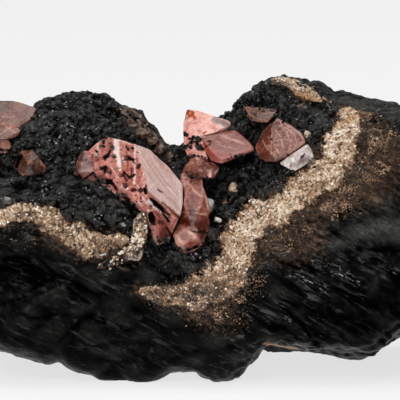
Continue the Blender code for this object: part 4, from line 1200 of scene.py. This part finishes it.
# A six-sided double cone: its corners and its triangles.
POINT_CORNERS = np.array([
    (1, 0, 0), (0.5, 0.87, 0), (-0.5, 0.87, 0), (-1, 0, 0), (-0.5, -0.87, 0), (0.5, -0.87, 0),
    (0, 0, 1.2), (0, 0, -0.9),
])
POINT_FACES = np.array([(k, (k + 1) % 6, 6) for k in range(6)] + [((k + 1) % 6, k, 7) for k in range(6)])


def crumb_shape():
    """The corners and triangles of an icosahedron, made by Blender and read back."""
    mesh = bpy.data.meshes.new("crumb")
    shape = bmesh.new()
    bmesh.ops.create_icosphere(shape, subdivisions=1, radius=1.0)
    bmesh.ops.triangulate(shape, faces=shape.faces)
    shape.to_mesh(mesh)
    shape.free()
    corners = np.array([tuple(v.co) for v in mesh.vertices])
    faces = np.array([tuple(f.vertices) for f in mesh.polygons])
    bpy.data.meshes.remove(mesh)
    return corners, faces


def scattered(corners, faces, places, sizes, rng, jitter=0.0):
    """Copies of a small shape at the places, each turned and stretched at random, as points and faces."""
    count, corner_count = len(places), len(corners)
    axes = np.linalg.qr(rng.normal(size=(count, 3, 3)))[0]
    stretch = rng.uniform(0.7, 1.3, size=(count, 1, 3)) * sizes[:, None, None] / 2
    bent = corners[None] * (1 + jitter * rng.uniform(-1, 1, size=(count, corner_count, 1)))
    points = (bent * stretch) @ axes + places[:, None, :]
    copies = np.tile(faces, (count, 1, 1))
    mirrored = np.linalg.det(axes) < 0
    copies[mirrored] = copies[mirrored][..., ::-1]
    copies = copies + corner_count * np.arange(count)[:, None, None]
    return points.reshape(-1, 3), copies.reshape(-1, 3)


class STONE_OT_seams(bpy.types.Operator):
    """Drapes the quartz crusts on the skin and scatters their points"""

    bl_idname = "stone.seams"
    bl_label = "Quartz seams"

    def execute(self, context):
        settings = context.scene.stone_seams
        material = druse_material()
        for number, (name, path) in enumerate(SEAMS.items()):
            rng = np.random.default_rng(SEAM_SEED + number)
            proud = settings.proud / MM
            length = seam_stations(path, 2)[3]
            stations = max(40, round(length / CRUST_STEP))
            grid = crust_points(path, stations, CRUST_SPOKES, proud)
            points = close_globe(grid, grid[0].mean(axis=0), grid[-1].mean(axis=0))
            faces = outward(points, globe_faces(stations, CRUST_SPOKES))
            marks = {"tint": 0.26 + 0.16 * value_noise(points, 1.1), "rust": painted(points, RUST, 1.2)}
            crust = make_mesh(f"{name}_crust", upright(points), faces, material, marks)
            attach(crust, "root")
            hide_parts(name)
            fineness = 0.62 if name == "druse_top" else 1.0
            places, size, tone = self.band(path, settings, rng, fineness)
            for line, lightness, density in FRINGES.get(name, []):
                fringe = self.fringe(line, lightness, density * settings.grains_per_mm2, settings, rng)
                places, size, tone = (np.concatenate(pair) for pair in zip((places, size, tone), fringe))
            points, faces = scattered(POINT_CORNERS, POINT_FACES, places, size, rng)
            marks = {"tint": np.repeat(np.clip(tone, 0.02, 1), len(POINT_CORNERS)),
                     "rust": painted(points, RUST, 1.2)}
            grains = make_mesh(f"{name}_points", upright(points), faces, material, marks, smooth=False)
            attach(grains, "root")
        self.add_pale_points(settings, material)
        return {"FINISHED"}

    def add_pale_points(self, settings, material):
        """Strews pale quartz points over the pale vein's crust and along the line in which it goes on."""
        rng = np.random.default_rng(PALE_VEIN_SEED)
        crust = node_triangles("pale_vein_crust")

        def on_vein(seen):
            """The points seen on the crust or the stone, and whether either lies there."""
            places, on_crust, backed = nearest_to_eye(seen, crust)
            return places, on_crust | backed

        places, size, tone = self.band(PALE_VEIN, settings, rng, 1.0, on_vein)
        on_crust = np.clip((places[:, 2] - 21.0) / 3.0, 0, 1)
        kept = rng.uniform(size=len(places)) < 0.35 + 0.65 * on_crust + 0.9 * np.minimum(tone - 0.5, 0)
        places, size, tone, on_crust = places[kept], size[kept], tone[kept], on_crust[kept]
        points, faces = scattered(POINT_CORNERS, POINT_FACES, places, size, rng)
        tone = 0.4 + 2.0 * (tone - 0.6) + 0.2 * on_crust
        marks = {"tint": np.repeat(np.clip(tone, 0.02, 1), len(POINT_CORNERS)), "rust": np.zeros(len(points))}
        grains = make_mesh("pale_vein_points", upright(points), faces, material, marks, smooth=False)
        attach(grains, "root")

    def band(self, path, settings, rng, fineness, place=on_skin):
        """Places, sizes and tones of points spread evenly over a seam, browner and smaller past its edges."""
        middle, ahead, half, length = seam_stations(path, 400)
        count = int(length * 2 * half.mean() * settings.grains_per_mm2 * 1.2 / fineness**2)
        station = rng.uniform(0, 399, count)
        lane = np.where(rng.uniform(size=count) < 0.7, rng.uniform(-1, 1, count), rng.normal(0, 0.95, count))
        spot = station.astype(int)
        sideways = np.stack([-ahead[spot, 1], ahead[spot, 0]], axis=-1)
        along = station / 399 * length
        width = ragged(half[spot], along, np.sign(lane))
        edge = np.sqrt(np.clip(np.minimum(along, length - along) / 1.5, 0.05, 1))
        places, kept = place(middle[spot] + (lane * width * edge)[:, None] * sideways)
        outside = np.clip(np.abs(lane) - 0.85, 0, 1)
        size = fineness * settings.grain / MM * rng.uniform(0.55, 1.6, count) * (1 - 0.5 * np.sqrt(outside))
        clumps = value_noise(places + 60.0, 1.5)
        places[:, 1] -= settings.proud / MM * np.sqrt(np.clip(1 - lane**2, 0, 1)) * (0.75 + 0.45 * clumps)
        # Painted light and shade: lighter round x 9, rise 26 and towards the right, darker below rise 22.
        glow = 0.2 * np.exp(-(((places[:, 0] - 9) / 8) ** 2) - ((places[:, 2] - 26) / 6) ** 2)
        glow += 0.08 * np.clip((places[:, 0] - 12) / 6, 0, 1) - 0.14 * np.clip((22 - places[:, 2]) / 6, 0, 1)
        tone = 0.55 + 0.26 * clumps + 0.18 * value_noise(places, 5.0) + rng.normal(0, 0.17, count)
        # Painted light from above: points on a seam's upper side are lighter, those on its lower side darker.
        tone += 0.12 * np.clip(lane, -1, 1) * sideways[:, 1]
        tone += glow - 0.9 * np.sqrt(outside) * (outside > 0)
        tone -= 0.12 * np.clip((8.0 - places[:, 0]) / 8.0, 0, 1)
        tone += 0.1 * np.clip((-34.0 - places[:, 0]) / 4.0, 0, 1)
        tone = np.where((rng.uniform(size=count) < 0.04) & (outside == 0), 1.0, tone)
        return places[kept], size[kept], tone[kept]

    def fringe(self, path, lightness, density, settings, rng):
        """Places, sizes and tones of single brown points, strewn about a line with no edge."""
        middle, ahead, half, length = seam_stations(path, 200)
        count = int(length * half.mean() * density)
        station = rng.uniform(0, 199, count)
        spot = station.astype(int)
        sideways = np.stack([-ahead[spot, 1], ahead[spot, 0]], axis=-1)
        places = skin_under(middle[spot] + (rng.normal(0, 0.6, count) * half[spot])[:, None] * sideways)
        clumps = value_noise(places + 60.0, 1.8)
        keep = (clumps > rng.uniform(-0.5, 0.7, count)) & on_stone(places)
        size = settings.grain / MM * rng.uniform(0.3, 0.8, count)
        tone = lightness + 0.25 * clumps + rng.normal(0, 0.1, count)
        return places[keep], size[keep], tone[keep]


# The looks of each kind of crystal: its colours, how clear it is, and the slope of its stripes in degrees.
LOOKS = {
    "pitted_rhodochrosite": {
        "deep": "#5c1c12", "body": "#aa584b", "light": "#c88677", "veil_and_highlight": "#f2dad4",
        "clear": 0.1, "streak": 57},
    "bright_rhodochrosite": {
        "deep": "#a8503f", "body": "#e59686", "light": "#f2bbad", "veil_and_highlight": "#f8dad2",
        "clear": 0.1, "streak": 12},
    "mauve_rhodochrosite": {
        "deep": "#a03a2a", "body": "#7c382b", "light": "#985a4c", "veil_and_highlight": "#b98a7d",
        "clear": 0.15, "streak": 14},
    "rose_rhodochrosite": {
        "deep": "#44140c", "body": "#6e3122", "light": "#8c5140", "veil_and_highlight": "#cda190",
        "clear": 0.15, "streak": 62},
    "deep_rhodochrosite": {
        "deep": "#4c160d", "body": "#7f3a29", "light": "#a76856", "veil_and_highlight": "#cf9f90",
        "clear": 0.1, "streak": -35},
    "brown_rhodochrosite": {
        "deep": "#1c0a05", "body": "#482112", "light": "#7c452d", "veil_and_highlight": "#94705e",
        "clear": 0.1, "streak": 40},
    "dusky_rhodochrosite": {
        "deep": "#32120a", "body": "#5a2a1c", "light": "#74402f", "veil_and_highlight": "#a67867",
        "clear": 0.1, "streak": 10},
    "pale_quartz": {
        "deep": "#8a6a5f", "body": "#cbb5aa", "light": "#f0e6df", "veil_and_highlight": "#fdfaf8",
        "clear": 0.3, "streak": -50},
    "umber_quartz": {
        "deep": "#160d08", "body": "#3d2a20", "light": "#674e40", "veil_and_highlight": "#a38c7c",
        "clear": 0.1, "streak": 40},
    "stained_quartz": {
        "deep": "#2a1b15", "body": "#604a3e", "light": "#a8917f", "veil_and_highlight": "#eee2d8",
        "clear": 0.1, "streak": 80},
    "white_quartz": {
        "deep": "#cfc4be", "body": "#ece6e1", "light": "#faf8f6", "veil_and_highlight": "#ffffff",
        "clear": 0.1, "streak": 0},
    "tan_quartz": {
        "deep": "#6b4a35", "body": "#ab8a70", "light": "#e0cab2", "veil_and_highlight": "#f6ead9",
        "clear": 0.1, "streak": 0},
    "dark_quartz": {
        "deep": "#151312", "body": "#3d3835", "light": "#8c8580", "veil_and_highlight": "#d5cfca",
        "clear": 0.1, "streak": 0},
}

# Each crystal's look and slot, then the rings and spokes of its grid.
CRYSTALS = {
    "crystal_main": ("pitted_rhodochrosite", "rhodochrosite", 284, 234),
    "crystal_centre": ("deep_rhodochrosite", "rhodochrosite", 210, 170),
    "crystal_upper": ("bright_rhodochrosite", "rhodochrosite", 190, 170),
    "crystal_wedge": ("mauve_rhodochrosite", "rhodochrosite", 150, 150),
    "crystal_right": ("rose_rhodochrosite", "rhodochrosite", 170, 160),
    "pale_crystal_right": ("pale_quartz", "pale_quartz", 110, 100),
    "crystal_shadow": ("brown_rhodochrosite", "brown_rhodochrosite", 90, 90),
    "crystal_left": ("dusky_rhodochrosite", "rhodochrosite", 150, 140),
    "crystal_brown": ("brown_rhodochrosite", "brown_rhodochrosite", 120, 110),
    "brown_vein_crust": ("umber_quartz", "brown_rhodochrosite", 110, 96),
    "pale_vein_crust": ("stained_quartz", "pale_quartz", 120, 100),
}


def node_triangles(name):
    """The corner points of a CAD node's triangles, in the tipped frame in mm."""
    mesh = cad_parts[name].data
    mesh.calc_loop_triangles()
    points = np.empty(len(mesh.vertices) * 3, np.float32)
    mesh.vertices.foreach_get("co", points)
    index = np.empty(len(mesh.loop_triangles) * 3, np.int32)
    mesh.loop_triangles.foreach_get("vertices", index)
    return tipped(points.reshape(-1, 3).astype(float))[index.reshape(-1, 3)]


def cast_out(start, direction, triangles):
    """How far each ray runs from its start to the outermost triangle that it meets, or 0."""
    reach = np.zeros(len(direction))
    for a, b, c in triangles:
        edge_b, edge_c = b - a, c - a
        cross = np.cross(direction, edge_c)
        det = cross @ edge_b
        safe = np.where(np.abs(det) < 1e-12, 1e-12, det)
        away = start - a
        u = np.sum(cross * away, axis=-1) / safe
        turned = np.cross(away, edge_b)
        v = np.sum(direction * turned, axis=-1) / safe
        t = (turned @ edge_c) / safe
        hit = (np.abs(det) > 1e-12) & (u >= -1e-6) & (v >= -1e-6) & (u + v <= 1 + 1e-6) & (t > 0)
        reach = np.where(hit, np.maximum(reach, t), reach)
    return reach


def softened(reach, times):
    """A grid of distances, averaged with its neighbours that many times."""
    for _ in range(times):
        padded = np.concatenate([reach[:1], reach, reach[-1:]])
        reach = (2 * reach + padded[:-2] + padded[2:] + np.roll(reach, 1, 1) + np.roll(reach, -1, 1)) / 6
    return reach


def cleaved(name, centre, direction, reach):
    """Cuts the distances off at each cleavage face; returns them, how pale and how pitted each point is."""
    pale = np.zeros(len(reach))
    pitted = np.full(len(reach), 0.25)
    for first, second, third, face_pale, face_pitted in CLEAVAGES.get(name, []):
        corners = [np.array(true_place(x, depth, rise)) for x, rise, depth in (first, second, third)]
        normal = np.cross(corners[1] - corners[0], corners[2] - corners[0])
        normal /= np.linalg.norm(normal)
        height = normal @ (corners[0] - centre)
        normal, height = (normal, height) if height > 0 else (-normal, -height)
        facing = direction @ normal
        cut = np.where(facing > 1e-3, height / np.maximum(facing, 1e-3), 1e9)
        on_face = cut < reach + 0.25
        reach = np.minimum(reach, cut)
        pale = np.where(on_face, face_pale, pale)
        pitted = np.where(on_face, face_pitted, pitted)
    return reach, pale, pitted


# Crystals whose faces are also wavy, and by how many mm.
WAVY = {"crystal_centre": 0.45, "crystal_right": 0.15, "crystal_left": 0.2}


def crystal_relief(p, wavy, lumpy):
    """Relief of crystal faces in mm: 4 and 1.6 mm noise cut into a staircase of cleavage steps, waves and ripples.

    A lumpy crust has 1.1 mm grains and 2.2 mm knots in place of the steps.
    """
    terrace = value_noise(p + 3.0, 4.0) * 3.0 + value_noise(p + 8.0, 1.6)
    stairs = (np.floor(terrace * 1.5) + 0.5) / 1.5 * 0.06 + 0.03 * value_noise(p, 0.6)
    stairs += wavy * (value_noise(p + 17.0, 2.6) + 0.4 * value_noise(p + 23.0, 1.2))
    grains, _ = grain_noise(p, 1.1)
    return np.where(lumpy, 0.8 * value_noise(p + 2.0, 2.2) + 0.6 * (0.7 - grains), stairs)


# The marks that can be drawn on a crystal, each with the width in mm across which its edge fades.
MARK_KINDS = {"veil_and_highlight": 0.3, "oxide": 0.3, "warm": 0.4, "umber": 0.4, "smoke": 0.6, "deep_and_shade": 1.3, "hole": 0.3}


def cleavage_lines(p, streak):
    """Straight pale lines along the streak and 70 degrees from it, where noise stretched 18 times is high."""
    total = np.zeros(len(p))
    for angle, strength in ((streak, 0.6), (streak + math.radians(70), 0.35)):
        along = p[:, 0] * math.cos(angle) - p[:, 2] * math.sin(angle)
        across = p[:, 0] * math.sin(angle) + p[:, 2] * math.cos(angle)
        swept = np.stack([along / 18.0, across, p[:, 1] / 3.0], axis=-1)
        total = np.maximum(total, strength * np.clip((value_noise(swept, 0.4) - 0.5) / 0.3, 0, 1))
    return total


def etch_pits(p):
    """From 0 to 1 inside etch pits: holes about 0.5 and 1.2 mm across round scattered seeds, bent by noise."""
    warped = p + 0.3 * np.stack([value_noise(p + k, 0.8) for k in (1.0, 2.0, 3.0)], axis=-1)
    large, _ = grain_noise(warped + 21.0, 2.1)
    small, _ = grain_noise(warped + 44.0, 1.0)
    return np.clip(np.maximum((0.30 - large) / 0.10, (0.24 - small) / 0.10), 0, 1)


class STONE_OT_crystals(bpy.types.Operator):
    """Gives every crystal its faces, steps, pits and colours"""

    bl_idname = "stone.crystals"
    bl_label = "Crystals"

    def execute(self, context):
        materials = {}
        for name, (look, slot, rings, spokes) in CRYSTALS.items():
            if look not in materials:
                materials[look] = crystal_material(f"{look}_cleaved", LOOKS[look])
            triangles = node_triangles(name)
            centre = triangles.reshape(-1, 3).mean(axis=0)
            tip = spaced_by(lambda a: 1 + 1.6 * (a < 1.75), rings, 0.01, math.pi - 0.02)
            turn = np.arange(spokes) / spokes * math.tau
            a, b = np.meshgrid(tip, turn, indexing="ij")
            direction = np.stack([np.sin(a) * np.cos(b), -np.cos(a), np.sin(a) * np.sin(b)], axis=-1)
            flat = direction.reshape(-1, 3)
            reach, pale, pitted = cleaved(name, centre, flat, cast_out(centre, flat, triangles))
            grid = softened(reach.reshape(rings, spokes), 1)
            # Painted highlight: convex edges, found against a softened grid, are drawn paler.
            edge = np.clip((grid - softened(grid, 8)) / 0.05, 0, 1)
            p = close_globe(
                centre + grid[..., None] * direction, centre + grid[0].mean() * TOWARDS_EYE,
                centre - grid[-1].mean() * TOWARDS_EYE)
            rays = close_globe(direction, TOWARDS_EYE, -TOWARDS_EYE)
            extra = np.stack([pale.reshape(rings, spokes), pitted.reshape(rings, spokes), edge], axis=-1)
            extra = close_globe(extra, np.zeros(3), np.zeros(3))
            marks = CRYSTAL_MARKS.get(name, {})
            drawn = {kind: painted(p, marks.get(kind, []), soft) for kind, soft in MARK_KINDS.items()}
            pits = etch_pits(p) * extra[:, 1]
            relief = crystal_relief(p, WAVY.get(name, 0.0), name.endswith("crust"))
            p = p + (relief - 0.35 * pits - 1.1 * drawn.pop("hole"))[:, None] * rays
            lines = cleavage_lines(p, math.radians(LOOKS[look]["streak"]))
            # The veil mark also gathers the pale faces' painted sheen, the edges' painted highlight and the
            # cleavage lines.
            pale_parts = [drawn["veil_and_highlight"], extra[:, 0], 0.3 * extra[:, 2], lines]
            drawn["veil_and_highlight"] = np.clip(np.max(pale_parts, axis=0), 0, 1)
            drawn["pit"] = pits
            faces = outward(p, globe_faces(rings, spokes))
            piece = make_mesh(f"{name}_cleaved", upright(p), faces, materials[look], drawn)
            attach(piece, "root")
            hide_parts(name)
        self.add_knobs(materials)
        return {"FINISHED"}

    def add_knobs(self, materials):
        """Small grown-on grains: each direction runs out to the nearest of KNOB_PLANES random planes."""
        shown = np.concatenate([node_triangles(name) for name in CRYSTALS])
        tip = np.linspace(0.05, math.pi - 0.05, KNOB_RINGS)
        turn = np.arange(KNOB_SPOKES) / KNOB_SPOKES * math.tau
        a, b = np.meshgrid(tip, turn, indexing="ij")
        direction = np.stack([np.sin(a) * np.cos(b), -np.cos(a), np.sin(a) * np.sin(b)], axis=-1)
        direction = close_globe(direction, TOWARDS_EYE, -TOWARDS_EYE)
        for number, (name, (x, rise, half, look)) in enumerate(KNOBS.items()):
            if look not in materials:
                materials[look] = crystal_material(f"{look}_cleaved", LOOKS[look])
            seat = nearest_to_eye(np.array([[x, rise]]), shown)[0][0]
            rng = np.random.default_rng(KNOB_SEED + number)
            normals = rng.normal(size=(KNOB_PLANES, 3))
            normals /= np.linalg.norm(normals, axis=1)[:, None]
            facing = np.maximum(direction @ normals.T, 0.1)
            out = np.minimum((rng.uniform(0.7, 1.0, KNOB_PLANES) / facing).min(axis=1), 1.25)
            p = seat + direction * half * (out + 0.05 * value_noise(direction * 3.0 + seat, 0.8))[:, None]
            faces = outward(p, globe_faces(KNOB_RINGS, KNOB_SPOKES))
            marks = {"veil_and_highlight": np.clip(value_noise(p, 0.5), 0, 1)}
            piece = make_mesh(name, upright(p), faces, materials[look], marks)
            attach(piece, "root")


def nearest_to_eye(seen, triangles):
    """The points seen at an array of (x, rise), whether each is on a crystal, and whether stone backs it."""
    p = skin_under(seen)
    start = np.stack([p[:, 0], np.full(len(p), CORE_DEPTH), p[:, 2]], axis=-1)
    reach = cast_out(start, np.tile([0.0, -1.0, 0.0], (len(p), 1)), triangles)
    p[:, 1] = np.minimum(p[:, 1], CORE_DEPTH - reach)
    return p, reach > 0, on_stone(p)


class STONE_OT_crumbs(bpy.types.Operator):
    """Strews crumbs of oxide over the pocket and along the crystals' edges"""

    bl_idname = "stone.crumbs"
    bl_label = "Oxide crumbs"

    def execute(self, context):
        rng = np.random.default_rng(CRUMB_SEED)
        shown = np.concatenate([node_triangles(name) for name in CRYSTALS])
        seen, sizes = [], []
        for path, count, width in CRUMBS:
            sizes.append(width * rng.uniform(0.45, 1.25, count) ** 1.4)
            middle, ahead, half, _ = seam_stations(path, 100)
            spot = rng.integers(0, 100, count)
            sideways = np.stack([-ahead[spot, 1], ahead[spot, 0]], axis=-1)
            seen.append(middle[spot] + (rng.normal(0, 0.6, count) * half[spot])[:, None] * sideways)
        places, on_crystal, backed = nearest_to_eye(np.concatenate(seen), shown)
        sizes = np.concatenate(sizes)
        kept = np.where(on_crystal, sizes < 0.9, backed)
        places, sizes = places[kept], sizes[kept]
        places[:, 1] += 0.22 * sizes
        corners, faces = crumb_shape()
        points, faces = scattered(corners, faces, places, sizes, rng, jitter=0.28)
        count = len(points)
        high = np.repeat(rng.uniform(0.35, 0.95, len(places)), len(corners))
        marks = {"stain": np.full(count, 0.1), "crusty": np.ones(count), "high": high,
                 "hackle": np.ones(count), "dust_and_light": high}
        crumbs = make_mesh("oxide_crumbs", upright(points), faces, oxide_material(), marks, smooth=False)
        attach(crumbs, "root")
        return {"FINISHED"}


def aim(obj, place, target):
    """Puts a light or camera at a place and turns it to look at the target."""
    obj.location = place
    obj.rotation_euler = (Vector(target) - Vector(place)).to_track_quat("-Z", "Y").to_euler()


class STONE_OT_stage(bpy.types.Operator):
    """Sets the floor, the soft lights and the camera"""

    bl_idname = "stone.stage"
    bl_label = "Stage"

    def execute(self, context):
        settings = context.scene.stone_stage
        scene = context.scene
        material, tree, shader = new_material("matt_card_printed_white")
        set_inputs(tree, shader, {
            "Base Color": settings.floor_colour, "Roughness": 0.9, "IOR": 1.3,
            "Emission Color": hex_colour("#FFFFFF"), "Emission Strength": settings.floor_glow})
        reach = 6.0
        corners = np.array([(-reach, -reach, 0), (reach, -reach, 0), (reach, reach, 0), (-reach, reach, 0)])
        floor = make_mesh("floor", corners, np.array([(0, 1, 2, 3)]), material, smooth=False)
        self.add_light(scene, "top_light", (0.12, 0.15, 1.4), (0, 0.15, 0), settings.top_power, 1.2)
        self.add_light(scene, "front_light", (-0.35, -0.9, 0.85), (0, 0, 0.03), settings.front_power, 0.5)
        self.add_light(scene, "low_light", (-0.3, -1.2, 0.22), (0, 0, 0.02), settings.low_power, 0.7)
        world = bpy.data.worlds.new("studio_room")
        scene.world = world
        world.use_nodes = True
        sky = world.node_tree.nodes["Background"]
        sky.inputs["Color"].default_value = hex_colour("#FFFFFF")
        sky.inputs["Strength"].default_value = settings.room
        camera = bpy.data.objects.new("camera", bpy.data.cameras.new("camera"))
        scene.collection.objects.link(camera)
        target = upright(np.array(PICTURE_MIDDLE))
        back = np.array([0, -COS_TILT, SIN_TILT]) * EYE_DISTANCE * MM
        aim(camera, target + back, target)
        camera.data.sensor_width = 36.0
        camera.data.lens = 36.0 * EYE_DISTANCE / PICTURE_WIDTH
        camera.data.clip_start = 0.05
        camera.data.clip_end = 30.0
        scene.camera = camera
        scene.view_settings.view_transform = "Standard"
        return {"FINISHED"}

    def add_light(self, scene, name, place, target, power, size):
        """A square soft light, which hangs in the row's frame and isn't part of the object."""
        light = bpy.data.lights.new(name, "AREA")
        light.energy = power
        light.size = size
        obj = bpy.data.objects.new(name, light)
        scene.collection.objects.link(obj)
        aim(obj, place, target)


class STONE_PT_panel(bpy.types.Panel):
    """Lists the settings and the steps of the stone"""

    bl_idname = "STONE_PT_panel"
    bl_label = "Rhodochrosite on Matrix"
    bl_space_type = "VIEW_3D"
    bl_region_type = "UI"
    bl_category = "Stone"

    def draw(self, context):
        layout = self.layout
        for group, operator in (
                ("stone_skin", "stone.skin"), ("stone_seams", "stone.seams"), (None, "stone.crystals"),
                (None, "stone.crumbs"), ("stone_stage", "stone.stage")):
            box = layout.box()
            if group:
                settings = getattr(context.scene, group)
                for key in settings.__annotations__:
                    box.prop(settings, key)
            box.operator(operator)


CLASSES = (
    StoneSettings, SeamSettings, StageSettings,
    STONE_OT_skin, STONE_OT_seams, STONE_OT_crystals, STONE_OT_crumbs, STONE_OT_stage, STONE_PT_panel,
)


def register():
    """Registers the classes and hangs the settings on the scene."""
    for item in CLASSES:
        bpy.utils.register_class(item)
    bpy.types.Scene.stone_skin = PointerProperty(type=StoneSettings)
    bpy.types.Scene.stone_seams = PointerProperty(type=SeamSettings)
    bpy.types.Scene.stone_stage = PointerProperty(type=StageSettings)


def unregister():
    """Takes the settings and the classes away again."""
    for key in ("stone_skin", "stone_seams", "stone_stage"):
        delattr(bpy.types.Scene, key)
    for item in reversed(CLASSES):
        bpy.utils.unregister_class(item)


def main():
    """Builds every piece and the stage."""
    register()
    for step in ("skin", "seams", "crystals", "crumbs", "stage"):
        getattr(bpy.ops.stone, step)()


if __name__ == "__main__":
    main()
